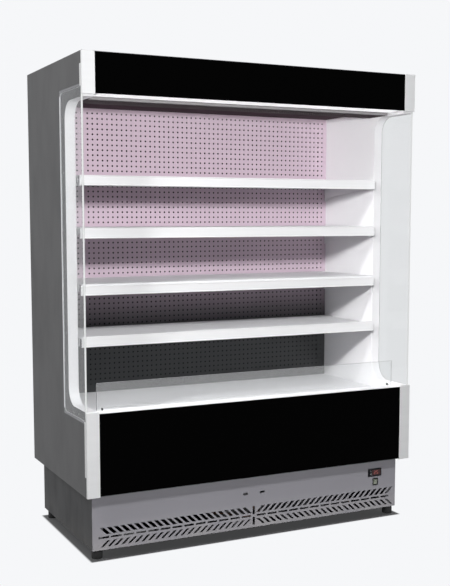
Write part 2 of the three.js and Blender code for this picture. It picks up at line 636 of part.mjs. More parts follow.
function buildFeet() {
  const { radius, stem, x, front, back } = FOOT;
  const outline = [[0, 0], [radius - 1.5, 0], [radius, 1.5], [radius, 31], [13, 31],
    [13, PLINTH.bottom - GAP], [stem, PLINTH.bottom - GAP], [stem, 60], [0, 60]];
  const profile = outline.map(([r, z]) => new THREE.Vector2(r, z));
  for (const [name, side] of SIDES) {
    for (const [end, distance] of [['front', front], ['rear', back]]) {
      const foot = new THREE.LatheGeometry(profile, 18).rotateX(Math.PI / 2);
      add(`foot_${end}_${name}`, foot, finish(COLOUR.black, 0.6), [side * x, behind(distance), 0]);
    }
  }
}

// ---------- condensing unit ----------
const CONDENSER = { x0: 40, x1: 480, front: 80, back: 150, low: 45, high: 235 };
const CONDENSER_FAN = { x: 260, z: 140, y: 176, radius: 82, hole: 90 };

function buildCondensingUnit() {
  const { x0, x1, front, back, low, high } = CONDENSER;
  const base = PLINTH.bottom + 3 + GAP;
  const coil = [block(x0, x1, behind(front), behind(back), low, high)];
  for (const x of [x0, x1]) coil.push(block(x - 2, x + 2, behind(front - 6), behind(back + 4), base, high + 4));
  for (const side of [0, 1]) {
    for (let row = 0; row < 5; row += 1) {
      const x = side ? x1 + 9 : x0 - 9;
      coil.push(bar(4, 18, [x, behind(front + 35), low + 20 + row * 36], 'x', 8));
    }
  }
  add('condenser', join(coil), finish(COLOUR.aluminium, 0.35, 0.8));

  const { x, z, y, radius, hole } = CONDENSER_FAN;
  const shroudFront = behind(back + 5);
  const outer = block(x0 - 1, x1 + 1, shroudFront, behind(y + 8), base, high + 3);
  const hollow = block(x0 + 1, x1 - 1, shroudFront - 5, behind(y + 6), base + 2, high + 1);
  const mouth = bar(hole, 60, [x, behind(y), z], 'y', 32);
  const shell = cut(outer, [hollow, mouth]);
  const arms = [bar(26, 34, [x, behind(y + 48), z], 'y', 20)];
  for (const angle of [Math.PI / 4, -Math.PI / 4]) {
    arms.push(new THREE.BoxGeometry(2 * hole + 14, 3, 10).rotateY(angle).translate(x, behind(y + 30), z));
  }
  for (const angle of [1, 3, 5, 7].map((n) => (n * Math.PI) / 4)) {
    const place = [x + Math.cos(angle) * (hole + 4), behind(y + 18), z + Math.sin(angle) * (hole + 4)];
    arms.push(bar(3, 27, place, 'y', 8));
  }
  add('condenser_fan_shroud', join([shell, ...arms]), finish(COLOUR.darkPlastic, 0.5));
  add('condenser_fan', fanGeometry(radius, 5, 26), finish(COLOUR.darkPlastic, 0.5), [x, behind(y + 7), z]);

  // Hermetic compressor: domed pot on a foot plate, with a terminal box and three pipe stubs.
  const pot = [[0, 0], [70, 0], [88, 14], [92, 40], [92, 112], [84, 142], [60, 160], [25, 168], [0, 169]];
  const dome = new THREE.LatheGeometry(pot.map(([r, h]) => new THREE.Vector2(r, h)), 28).rotateX(Math.PI / 2);
  const parts = [
    dome,
    block(-105, 105, -72, 72, -8, 1),
    block(80, 112, -32, 32, 35, 95),
    bar(5, 60, [-60, 40, 165], 'z', 10),
    bar(4, 46, [-100, 0, 70], 'x', 10),
    bar(4, 46, [-95, -30, 95], 'x', 10),
  ];
  for (const sx of [-1, 1]) {
    for (const sy of [-1, 1]) parts.push(bar(13, 7.4, [sx * 85, sy * 55, -11.3], 'z', 12));
  }
  add('compressor', join(parts), finish(COLOUR.black, 0.4), [-120, behind(420), base + 15.1]);

  // Tray that catches and evaporates the defrost water.
  const tray = block(-600, -290, behind(300), behind(600), base, base + 60);
  const well = block(-598, -292, behind(302), behind(598), base + 2, base + 80);
  add('drain_tray', cut(tray, [well]), finish(COLOUR.darkPlastic, 0.5));
}

// ---------- controls ----------
const ROCKER_TILT = THREE.MathUtils.degToRad(8);
const KEY = { x: 577, width: 8, height: 7, low: [192, 204], names: ['down', 'up'], proud: 0.9, travel: 0.6 };

function buildControls() {
  const face = behind(PLINTH.front);
  const { x0, x1, z0, z1 } = CONTROLLER;
  const bezel = join([
    block(x0, x1, face - 4, face - GAP, z0, z1),
    block(x0 + 4, x1 - 4, face - 1, face + 55, z0 + 4, z1 - 4),
  ]);
  const pockets = [block(587, 634, face - 6, face - 3, 188.5, 214.5)];
  for (const low of KEY.low) {
    pockets.push(block(KEY.x - GAP, KEY.x + KEY.width + GAP, face - 6, face, low - GAP, low + KEY.height + GAP));
  }
  add('controller_bezel', cut(bezel, pockets), finish(COLOUR.black, 0.3));
  KEY.low.forEach((low, index) => {
    const key = block(0, KEY.width, 0, KEY.proud + 1.6, 0, KEY.height);
    add(`controller_key_${KEY.names[index]}`, key, finish(COLOUR.darkPlastic, 0.4), [KEY.x, face - 4 - KEY.proud, low]);
  });

  // Switch: a black frame snapped into the panel, with a rocker on a cross pivot. It rests switched on.
  const frame = join([
    block(SWITCH.x0, SWITCH.x1, face - 2.5, face - GAP, SWITCH.z0, SWITCH.z1),
    block(SWITCH.x0 + 2.5, SWITCH.x1 - 2.5, face - 1, face + 22, SWITCH.z0 + 2.5, SWITCH.z1 - 2.5),
  ]);
  const bore = block(SWITCH.x0 + 4, SWITCH.x1 - 4, face - 9, face + 14, SWITCH.z0 + 4, SWITCH.z1 - 4);
  add('switch_frame', cut(frame, [bore]), finish(COLOUR.black, 0.4));
  const halfHeight = (SWITCH.z1 - SWITCH.z0) / 2 - 5;
  const rise = halfHeight * Math.tan(ROCKER_TILT);
  const side = shapeOf([
    [-4, 0], [-4 - rise, halfHeight], [4.5, halfHeight - 1.5], [7, 0], [4.5, 1.5 - halfHeight], [-4 - rise, -halfHeight],
  ]);
  const rocker = alongX(side, -(SWITCH.x1 - SWITCH.x0) / 2 + 4.6, (SWITCH.x1 - SWITCH.x0) / 2 - 4.6);
  rocker.translate(0, -FRONT, 0).rotateX(ROCKER_TILT);
  const middle = [(SWITCH.x0 + SWITCH.x1) / 2, face + 2, (SWITCH.z0 + SWITCH.z1) / 2];
  add('rocker_switch', rocker, finish(COLOUR.green, 0.3), middle);
}

buildEnds();
buildCaps();
buildBody();
buildHeader();
buildBlind();
buildBackPanel();
buildShelves();
buildDeck();
buildEvaporator();
buildPlinth();
buildBaseFrame();
buildFeet();
buildCondensingUnit();
buildControls();

export default object;
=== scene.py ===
"""Open multideck display fridge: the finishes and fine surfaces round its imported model.

Lengths are metres. X runs along the front, Y to the back and Z up, and the origin is on the floor under the
middle of the cabinet. The front plane is at Y = -0.375.
"""

import logging
import math
from dataclasses import dataclass
from enum import Enum, IntEnum
from typing import Iterable, Mapping, Sequence, Union

import bmesh
import bpy
import numpy as np
from mathutils import Matrix


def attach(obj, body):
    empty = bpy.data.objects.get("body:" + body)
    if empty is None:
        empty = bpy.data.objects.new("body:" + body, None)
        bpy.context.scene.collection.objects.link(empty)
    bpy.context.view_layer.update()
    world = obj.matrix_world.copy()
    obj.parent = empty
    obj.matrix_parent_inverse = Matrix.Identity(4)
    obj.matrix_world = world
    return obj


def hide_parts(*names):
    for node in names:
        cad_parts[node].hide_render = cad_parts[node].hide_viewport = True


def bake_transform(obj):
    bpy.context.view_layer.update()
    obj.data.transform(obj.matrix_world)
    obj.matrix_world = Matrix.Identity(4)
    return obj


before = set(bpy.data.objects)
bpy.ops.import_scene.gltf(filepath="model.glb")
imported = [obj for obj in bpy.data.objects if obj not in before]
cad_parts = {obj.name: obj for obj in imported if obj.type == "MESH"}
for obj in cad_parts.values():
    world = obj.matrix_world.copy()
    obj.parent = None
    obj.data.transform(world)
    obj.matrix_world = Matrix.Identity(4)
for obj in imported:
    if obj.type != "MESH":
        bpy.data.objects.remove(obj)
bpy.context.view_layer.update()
LOG = logging.getLogger("display_fridge")
FRONT = -0.375
SIDES = (-1.0, 1.0)
WELD = 1e-6
CAD_WELD = 1e-5
FACET_DEGREES = 0.5
BEVEL_STEPS = 2
Colour = tuple[float, float, float]
Point = tuple[float, float, float]
Rows = Union[np.ndarray, Sequence]


class Axis(IntEnum):
    """The frame's axes, each with the number of its column in a point."""

    X = 0
    Y = 1
    Z = 2


class Falloff(Enum):
    """How a lamp's light fades with distance."""

    NONE = "Constant"
    SLOW = "Linear"


class Reach(Enum):
    """Whether a lamp lights only the thing that is named, or all but it."""

    ONLY = "INCLUDE"
    ALL_BUT = "EXCLUDE"


def tone(red: float, green: float, blue: float) -> Colour:
    """Returns a screen colour as the linear colour that a shader takes, by the sRGB curve.

    Args:
        red: the red channel, 0 to 255.
        green: the green channel.
        blue: the blue channel.

    Returns:
        The linear colour.
    """
    screen = np.array([red, green, blue]) / 255
    linear = np.where(screen <= 0.04045, screen / 12.92, ((screen + 0.055) / 1.055) ** 2.4)
    return tuple(float(x) for x in linear)


BACKDROP = tone(246, 247, 249)
DUST = tone(150, 146, 140)
WHITE_LIGHT = (1.0, 1.0, 1.0)


# ---------------------------------------------------------------- surfaces
@dataclass(frozen=True)
class Surface:
    """Points, one a row, and arrays of faces, each array with one number of corners."""

    points: np.ndarray
    faces: tuple[np.ndarray, ...]

    def moved(self, x: float = 0.0, y: float = 0.0, z: float = 0.0) -> "Surface":
        """Returns the surface shifted by x, y and z."""
        return Surface(self.points + np.array([x, y, z]), self.faces)

    def turned(self, axis: Axis, degrees: float) -> "Surface":
        """Returns the surface turned about an axis through the origin."""
        turn = np.array(Matrix.Rotation(math.radians(degrees), 3, axis.name))
        return Surface(self.points @ turn.T, self.faces)

    def mirrored(self) -> "Surface":
        """Returns the surface mirrored to the other end of the cabinet."""
        return Surface(self.points * np.array([-1.0, 1.0, 1.0]), self.faces)


def joined(parts: Iterable[Surface]) -> Surface:
    """Puts surfaces into one.

    Args:
        parts: the surfaces.

    Returns:
        One surface with all their points and faces.
    """
    parts = list(parts)
    starts = np.cumsum([0] + [len(part.points) for part in parts])
    faces = tuple(array + start for part, start in zip(parts, starts) for array in part.faces)
    return Surface(np.vstack([part.points for part in parts]), faces)


def grid(points: np.ndarray, wrap_rows: bool = False, wrap_columns: bool = True, caps: bool = False) -> Surface:
    """Joins a grid of points with four-cornered faces between neighbours.

    Args:
        points: rows x columns x 3.
        wrap_rows: whether the last row joins the first.
        wrap_columns: whether the last column joins the first.
        caps: whether the first and last rows are closed by a flat face.

    Returns:
        The surface.
    """
    rows, columns = points.shape[:2]
    number = np.arange(rows * columns).reshape(rows, columns)
    ends = (number[:1, ::-1], number[-1:, :])
    number = np.vstack([number, number[:1]]) if wrap_rows else number
    number = np.hstack([number, number[:, :1]]) if wrap_columns else number
    quads = np.stack([number[:-1, :-1], number[:-1, 1:], number[1:, 1:], number[1:, :-1]], -1)
    return Surface(points.reshape(-1, 3), (quads.reshape(-1, 4),) + (ends if caps else ()))


def prism(outline: Sequence[Sequence[float]], axis: Axis, low: float, high: float) -> Surface:
    """Carries a closed outline straight along an axis from low to high, and caps both ends."""
    flat = np.asarray(outline, float)
    return grid(np.stack([np.insert(flat, axis, value, 1) for value in (low, high)]), caps=True)


def lathe(profile: Sequence[Sequence[float]], centre: Sequence[float], axis: Axis, sides: int, ring: bool = False,
          flutes: float = 0.0, count: int = 0) -> Surface:
    """Turns a profile about an axis: at angle a a point lies at r (cos a, sin a) across the axis.

    Flutes take r times flutes / widest r times (1 + cos(count a)) / 2 off each radius r.

    Args:
        profile: pairs of radius and place along the axis.
        centre: a point on the axis, from which the places are counted.
        axis: the axis.
        sides: steps round.
        ring: whether the profile closes on itself.
        flutes: depth of the flutes at the widest radius.
        count: number of flutes.

    Returns:
        The surface, closed.
    """
    shape = np.asarray(profile, float)
    angle = np.linspace(0, 2 * np.pi, sides, endpoint=False)
    radius = shape[:, :1] * (1 - flutes / max(shape[:, 0].max(), 1e-9) * (1 + np.cos(count * angle)) / 2)
    flat = np.stack([radius * np.cos(angle), radius * np.sin(angle)], -1)
    along = np.broadcast_to(shape[:, 1:], flat.shape[:2])
    points = np.stack([flat[..., 0], flat[..., 1], along], -1)
    points = np.stack([points[..., (k - axis + 2) % 3] for k in range(3)], -1)
    return grid(points + np.asarray(centre, float), wrap_rows=ring)


def rounded(corners: Sequence[Sequence[float]], radius: float, steps: int = 6, closed: bool = True) -> np.ndarray:
    """Rounds the corners of a line: near a corner c the line is (1-t)^2 a + 2t(1-t) c + t^2 b.

    Args:
        corners: the line's corners, in two or three dimensions.
        radius: how far before and after a corner the curve starts and ends.
        steps: points on each curve.
        closed: whether the line closes on itself. An open line keeps its two ends.

    Returns:
        The points of the rounded line.
    """
    place = np.asarray(corners, float)
    before, after = np.roll(place, 1, 0) - place, np.roll(place, -1, 0) - place
    lengths = [np.linalg.norm(side, axis=1, keepdims=True) for side in (before, after)]
    start, end = (place + side / length * np.minimum(radius, length * 0.49)
                  for side, length in zip((before, after), lengths))
    t = np.linspace(0, 1, steps)[None, :, None]
    curve = (1 - t) ** 2 * start[:, None] + 2 * t * (1 - t) * place[:, None] + t ** 2 * end[:, None]
    if closed:
        return curve.reshape(-1, place.shape[1])
    return np.vstack([place[:1], curve[1:-1].reshape(-1, place.shape[1]), place[-1:]])


def tube(path: np.ndarray, radius: float, sides: int = 10, up: Sequence[float] = (0.31, 0.22, 0.92)) -> Surface:
    """Carries a circle along a path, square to it: p + r (cos a, sin a) in the plane across the path's direction.

    Args:
        path: the points of the path, n x 3.
        radius: the circle's radius.
        sides: steps round.
        up: a direction that the path never takes, which fixes where the circle starts.

    Returns:
        The tube, capped at both ends.
    """
    along = np.gradient(path, axis=0)
    along /= np.linalg.norm(along, axis=1, keepdims=True)
    across = np.cross(along, np.asarray(up, float))
    across /= np.linalg.norm(across, axis=1, keepdims=True)
    third = np.cross(along, across)
    angle = np.linspace(0, 2 * np.pi, sides, endpoint=False)[None, :, None]
    ring = across[:, None] * np.cos(angle) + third[:, None] * np.sin(angle)
    return grid(path[:, None] + radius * ring, caps=True)


def boxes(low: Rows, high: Rows) -> Surface:
    """Makes one box for each row of two arrays of corners.

    Args:
        low: the boxes' lowest corners, n x 3.
        high: their highest corners.

    Returns:
        The boxes as one surface.
    """
    low, high = np.atleast_2d(low).astype(float), np.atleast_2d(high).astype(float)
    corner = np.array([[0, 0, 0], [1, 0, 0], [1, 1, 0], [0, 1, 0], [0, 0, 1], [1, 0, 1], [1, 1, 1], [0, 1, 1]])
    side = np.array([[3, 2, 1, 0], [4, 5, 6, 7], [0, 1, 5, 4], [1, 2, 6, 5], [2, 3, 7, 6], [3, 0, 4, 7]])
    points = low[:, None] + corner * (high - low)[:, None]
    faces = side + 8 * np.arange(len(low))[:, None, None]
    return Surface(points.reshape(-1, 3), (faces.reshape(-1, 4),))


def plate(triangles: np.ndarray, axis: Axis, low: float, high: float) -> Surface:
    """Makes a flat sheet with holes from loose triangles: two faces, and walls along the edges of one triangle only.

    Args:
        triangles: n x 3 x 2, in the two axes other than the one across the sheet.
        axis: the axis across the sheet.
        low: where the sheet's first face is along it.
        high: where its second face is.

    Returns:
        The closed sheet.
    """
    corners, number = np.unique(np.round(triangles.reshape(-1, 2), 7), axis=0, return_inverse=True)
    faces, count = number.reshape(-1, 3), len(corners)
    first, second = (corners[faces[:, k]] - corners[faces[:, 0]] for k in (1, 2))
    turn = first[:, 0] * second[:, 1] - first[:, 1] * second[:, 0]
    faces = np.where((turn < 0)[:, None], faces[:, ::-1], faces)
    edges = np.vstack([faces[:, [0, 1]], faces[:, [1, 2]], faces[:, [2, 0]]])
    there, back = edges @ np.array([count, 1]), edges @ np.array([1, count])
    rim = edges[~np.isin(there, back)]
    points = np.vstack([np.insert(corners, axis, value, 1) for value in (low, high)])
    walls = np.column_stack([rim, rim[:, ::-1] + count])
    return Surface(points, (faces[:, ::-1], faces + count, walls))


def pierced(centres: np.ndarray, half: np.ndarray, radius: float) -> np.ndarray:
    """Cuts an eight-sided hole in each rectangular cell and returns the 12 triangles that are left of it.

    Args:
        centres: n x 2, the cells' middles.
        half: n x 2, half of each cell's width and height.
        radius: the hole's radius.

    Returns:
        12n x 3 x 2 triangles.
    """
    angle = np.arange(8) * np.pi / 4 + np.pi / 4
    hole = centres[:, None] + radius * np.stack([np.cos(angle), np.sin(angle)], -1)
    corner = centres[:, None] + half[:, None] * np.array([[1, 1], [-1, 1], [-1, -1], [1, -1]])
    points = np.concatenate([corner, hole], 1)
    faces = []
    for k in range(4):
        here, following = k, (k + 1) % 4
        at, middle, beyond = 4 + 2 * k, 5 + 2 * k, 4 + (2 * k + 2) % 8
        faces += [[here, following, middle], [here, middle, at], [following, beyond, middle]]
    return points[:, np.array(faces)].reshape(-1, 3, 2)


def rectangles(low: np.ndarray, high: np.ndarray) -> np.ndarray:
    """Splits rectangles into two triangles each.

    Args:
        low: their lowest corners, n x 2.
        high: their highest corners.

    Returns:
        2n x 3 x 2 triangles.
    """
    corner = np.array([[0, 0], [1, 0], [1, 1], [0, 1]])
    points = low[:, None] + corner * (high - low)[:, None]
    return points[:, np.array([[0, 1, 2], [0, 2, 3]])].reshape(-1, 3, 2)


def lattice(first: np.ndarray, second: np.ndarray) -> tuple[np.ndarray, np.ndarray]:
    """Lists the cells between two sets of grid lines.

    Args:
        first: the lines' places along the first axis.
        second: their places along the second axis.

    Returns:
        The lowest and the highest corners of all cells, each n x 2.
    """
    low = np.stack(np.meshgrid(first[:-1], second[:-1], indexing="ij"), -1).reshape(-1, 2)
    high = np.stack(np.meshgrid(first[1:], second[1:], indexing="ij"), -1).reshape(-1, 2)
    return low, high


# ---------------------------------------------------------------- shaders
Input = Union["Value", bpy.types.NodeSocket, float, tuple]


class Value:
    """A shader socket with the arithmetic that adds its Math nodes."""

    def __init__(self, shader: "Shader", socket: bpy.types.NodeSocket) -> None:
        """Keeps the shader and the socket."""
        self.shader, self.socket = shader, socket

    def math(self, operation: str, *others: Input) -> "Value":
        """Adds a Math node on this value and the others."""
        return self.shader.value("ShaderNodeMath", {"operation": operation}, dict(enumerate((self, *others))))

    def __add__(self, other: Input) -> "Value":
        """Returns self + other."""
        return self.math("ADD", other)

    __radd__ = __add__

    def __mul__(self, other: Input) -> "Value":
        """Returns self * other."""
        return self.math("MULTIPLY", other)

    __rmul__ = __mul__

    def __sub__(self, other: Input) -> "Value":
        """Returns self - other."""
        return self.math("SUBTRACT", other)

    def __rsub__(self, other: Input) -> "Value":
        """Returns other - self."""
        return self.shader.value("ShaderNodeMath", {"operation": "SUBTRACT"}, {0: other, 1: self})

    def __abs__(self) -> "Value":
        """Returns the value without its sign."""
        return self.math("ABSOLUTE")

    def ramp(self, low: float, high: float, start: float = 0.0, end: float = 1.0) -> "Value":
        """Returns start below low and end above high, with a smooth step between them."""
        inputs = {"Value": self, "From Min": low, "From Max": high, "To Min": start, "To Max": end}
        return self.shader.value("ShaderNodeMapRange", {"interpolation_type": "SMOOTHSTEP"}, inputs)


class Shader:
    """A material's, a world's or a lamp's node tree, filled from Python."""

    def __init__(self, owner: Union[bpy.types.Material, bpy.types.World, bpy.types.Light]) -> None:
        """Starts the owner's node tree empty.

        Args:
            owner: the material, world or lamp.
        """
        owner.use_nodes = True
        self.tree = owner.node_tree
        self.tree.nodes.clear()

    def node(self, kind: str, settings: Mapping = {}, inputs: Mapping = {}) -> bpy.types.Node:
        """Adds a node.

        Args:
            kind: the node's type.
            settings: its properties, set first.
            inputs: the values or links of its sockets, by name or number.

        Returns:
            The node.
        """
        made = self.tree.nodes.new(kind)
        for name, setting in settings.items():
            setattr(made, name, setting)
        for name, given in inputs.items():
            socket = made.inputs[name]
            given = given.socket if isinstance(given, Value) else given
            if isinstance(given, bpy.types.NodeSocket):
                self.tree.links.new(given, socket)
            elif isinstance(given, tuple) and len(given) == 3 and socket.type == "RGBA":
                socket.default_value = (*given, 1.0)
            else:
                socket.default_value = given
        return made

    def value(self, kind: str, settings: Mapping = {}, inputs: Mapping = {}, output: Union[int, str] = 0) -> Value:
        """Adds a node and returns one of its outputs."""
        return Value(self, self.node(kind, settings, inputs).outputs[output])

    def place(self) -> Value:
        """Returns the object coordinates, in metres."""
        return self.value("ShaderNodeTexCoord", output="Object")

    def axis(self, axis: Axis, vector: Value | None = None) -> Value:
        """Returns one part of a vector, or of the object coordinates where none is given."""
        return self.value("ShaderNodeSeparateXYZ", {}, {0: vector or self.place()}, axis.name)

    def noise(self, scale: float, detail: float = 2.0, stretch: Point = (1.0, 1.0, 1.0)) -> Value:
        """Returns noise with about scale lumps to the metre, drawn out where stretch is below 1."""
        vector = self.value("ShaderNodeMapping", {}, {"Vector": self.place(), "Scale": stretch})
        return self.value("ShaderNodeTexNoise", {}, {"Vector": vector, "Scale": scale, "Detail": detail})

    def blend(self, factor: Input, first: Input, second: Input) -> Value:
        """Returns a colour between first, where the factor is 0, and second, where it is 1."""
        return self.value("ShaderNodeMix", {"data_type": "RGBA"}, {0: factor, 6: first, 7: second}, 2)

    def bump(self, height: Input, depth: float) -> Value:
        """Returns the normal that a height from 0 to 1 gives when 1 stands depth metres proud."""
        return self.value("ShaderNodeBump", {}, {"Height": height, "Distance": depth, "Strength": 1.0})

    def surface(self, **sockets: Input) -> None:
        """Adds the Principled surface and the output.

        Args:
            sockets: the values or links of the surface's sockets, whose names have _ for a space.
        """
        inputs = {name.replace("_", " "): given for name, given in sockets.items()}
        shader = self.value("ShaderNodeBsdfPrincipled", {}, inputs)
        self.node("ShaderNodeOutputMaterial", {}, {"Surface": shader})


# ---------------------------------------------------------------- finishes
@dataclass(frozen=True)
class Finish:
    """A named finish. Each kind says how its surface is shaded."""

    name: str
    colour: Colour

    def shade(self, shader: Shader) -> None:
        """Fills the material's nodes."""
        raise NotImplementedError

    def material(self) -> bpy.types.Material:
        """Makes the finish's material the first time that it is asked for.

        Returns:
            The material.
        """
        made = bpy.data.materials.get(self.name)
        if made is None:
            made = bpy.data.materials.new(self.name)
            self.shade(Shader(made))
        return made

    def shades(self, share: float) -> tuple[Colour, Colour]:
        """Returns the colour darkened and lightened by a share of itself."""
        return tuple(tuple(min(c * k, 1.0) for c in self.colour) for k in (1 - share, 1 + share))


@dataclass(frozen=True)
class PowderCoat(Finish):
    """Baked powder paint: a fine orange peel, faint clouding and, on the base, a little dust low down.

    Where low is given, the coat changes smoothly to that colour below the heights of fade, which is behind the two
    lowest shelf spaces: this is painted shade, for the shade that the shelves cast on the back panel.
    """

    roughness: float = 0.42
    peel: float = 0.00004
    dust: float = 0.0
    specular: float = 0.3
    low: Colour | None = None
    fade: tuple[float, float] = (0.80, 1.14)
    dusty_height: float = 0.16

    def shade(self, shader: Shader) -> None:
        """Clouds the colour, varies the gloss and raises the orange peel.

        Args:
            shader: the material's shader.
        """
        cloud = shader.noise(2.3, 3.0).ramp(0.3, 0.7)
        colour = shader.blend(cloud, *self.shades(0.018))
        # Painted shade: below the fade heights the coat turns to the darker, greyer low colour.
        if self.low:
            colour = shader.blend(shader.axis(Axis.Z).ramp(*self.fade), self.low, colour)
        if self.dust:
            settled = shader.axis(Axis.Z).ramp(0.0, self.dusty_height, self.dust, 0.0)
            colour = shader.blend(settled * shader.noise(9.0, 4.0).ramp(0.25, 0.7), colour, DUST)
        scuff = shader.noise(14.0, 5.0, (1.0, 1.0, 0.35)).ramp(0.35, 0.75)
        peel = shader.noise(520.0, 2.0) + shader.noise(1900.0, 1.0) * 0.3
        shader.surface(Base_Color=colour, Roughness=scuff * 0.08 + (self.roughness - 0.04),
                       Specular_IOR_Level=self.specular, Normal=shader.bump(peel, self.peel))


@dataclass(frozen=True)
class Plastic(Finish):
    """Moulded or extruded plastic: a close grain, a slight flow along its length and fine rub marks."""

    roughness: float = 0.35
    specular: float = 0.3
    grain: float = 0.00002
    flow: Point = (0.05, 1.0, 1.0)

    def shade(self, shader: Shader) -> None:
        """Streaks the colour along the flow, and adds grain and rub marks.

        Args:
            shader: the material's shader.
        """
        streak = shader.noise(60.0, 2.0, self.flow).ramp(0.3, 0.7)
        rub = shader.noise(220.0, 4.0, (1.0, 0.15, 1.0)).ramp(0.45, 0.8)
        shader.surface(Base_Color=shader.blend(streak, *self.shades(0.012)),
                       Roughness=rub * 0.07 + self.roughness, Specular_IOR_Level=self.specular,
                       Normal=shader.bump(shader.noise(1400.0, 2.0), self.grain))


@dataclass(frozen=True)
class Zinc(Finish):
    """Galvanised sheet: patches of spangle, each with its own shade and gloss."""

    spangle: float = 95.0

    def shade(self, shader: Shader) -> None:
        """Shades each cell of a Voronoi pattern by the cell's own number, and adds streaks to the gloss.

        Args:
            shader: the material's shader.
        """
        patch = shader.value("ShaderNodeTexVoronoi", {}, {"Vector": shader.place(), "Scale": self.spangle}, "Color")
        shade = shader.axis(Axis.X, patch)
        streak = shader.noise(30.0, 4.0, (1.0, 1.0, 0.1))
        shader.surface(Base_Color=shader.blend(shade, *self.shades(0.13)), Metallic=0.85,
                       Roughness=shade * 0.14 + streak * 0.1 + 0.32,
                       Normal=shader.bump(shade + streak * 0.5, 0.00003))


@dataclass(frozen=True)
class Brushed(Finish):
    """Drawn or brushed metal with fine lines one way, along Z unless lines says another.

    A colour given for the arms is painted shade: it darkens the strip's level arms, which start at the two distances
    of arm_start above and below the middle of the window.
    """

    roughness: float
    lines: Point = (1.0, 1.0, 0.02)
    arm_shade: Colour | None = None
    window_middle: float = 1.188
    arm_start: tuple[float, float] = (0.612, 0.622)

    def shade(self, shader: Shader) -> None:
        """Lines the gloss, the colour and the normal alike.

        Args:
            shader: the material's shader.
        """
        line = shader.noise(900.0, 3.0, self.lines)
        stain = shader.noise(7.0, 4.0).ramp(0.35, 0.75)
        colour = shader.blend(line, *self.shades(0.06))
        # Painted shade: the strip's level arms turn to the darker arm colour.
        if self.arm_shade:
            off_middle = abs(shader.axis(Axis.Z) - self.window_middle)
            colour = shader.blend(off_middle.ramp(*self.arm_start), colour, self.arm_shade)
        shader.surface(Base_Color=colour, Metallic=1.0,
                       Roughness=line * 0.12 + stain * 0.06 + self.roughness - 0.06,
                       Normal=shader.bump(line, 0.00001))


@dataclass(frozen=True)
class Glass(Finish):
    """Clear glass with faint smears in its gloss."""

    ior: float

    def shade(self, shader: Shader) -> None:
        """Lets light through, with smears in the gloss."""
        smear = shader.noise(5.0, 5.0, (1.0, 1.0, 0.4)).ramp(0.45, 0.85)
        shader.surface(Base_Color=self.colour, Transmission_Weight=1.0, IOR=self.ior, Roughness=smear * 0.012)


@dataclass(frozen=True)
class Lit(Finish):
    """Plastic that glows, a little unevenly: a lamp's diffuser or a lit switch, or a pane edge whose glow is painted
    light. The pitch is the number of patches to the metre.
    """

    strength: float
    pitch: float

    def shade(self, shader: Shader) -> None:
        """Varies the glow by a soft noise and keeps a satin face with a fine grain.

        Args:
            shader: the material's shader.
        """
        glow = shader.blend(shader.noise(self.pitch, 1.0).ramp(0.3, 0.7), *self.shades(0.04))
        shader.surface(Base_Color=self.colour, Roughness=0.4, Emission_Color=glow, Emission_Strength=self.strength,
                       Normal=shader.bump(shader.noise(900.0, 1.0), 0.00001))


@dataclass(frozen=True)
class Woven(Finish):
    """Plain weave: the height is |sin(threads pi u)| |sin(threads drawn pi v)|, with u and v the UV map in metres.

    The hanging cloth stretches when it is drawn down, so its drawn is the length that it then has over the length
    at rest, and the threads come out at their own pitch.
    """

    threads: float = 900.0
    drawn: float = 1.0

    def shade(self, shader: Shader) -> None:
        """Raises the threads and darkens the gaps between them.

        Args:
            shader: the material's shader.
        """
        place = shader.value("ShaderNodeUVMap", {"uv_map": "cloth"})
        across = shader.axis(Axis.X, place) * (self.threads * math.pi)
        down = shader.axis(Axis.Y, place) * (self.threads * self.drawn * math.pi)
        rise = abs(across.math("SINE")) * abs(down.math("SINE"))
        shader.surface(Base_Color=shader.blend(rise, *self.shades(0.16)), Roughness=0.85, Sheen_Weight=0.2,
                       Normal=shader.bump(rise, 0.00012))


@dataclass(frozen=True)
class Print(Finish):
    """A printed or inlaid mark: flat colour with the faint mottle of a screen print."""

    def shade(self, shader: Shader) -> None:
        """Mottles the print."""
        shader.surface(Base_Color=shader.blend(shader.noise(700.0, 3.0), *self.shades(0.05)), Roughness=0.6,
                       Specular_IOR_Level=0.1, Normal=shader.bump(shader.noise(2500.0, 1.0), 0.000004))


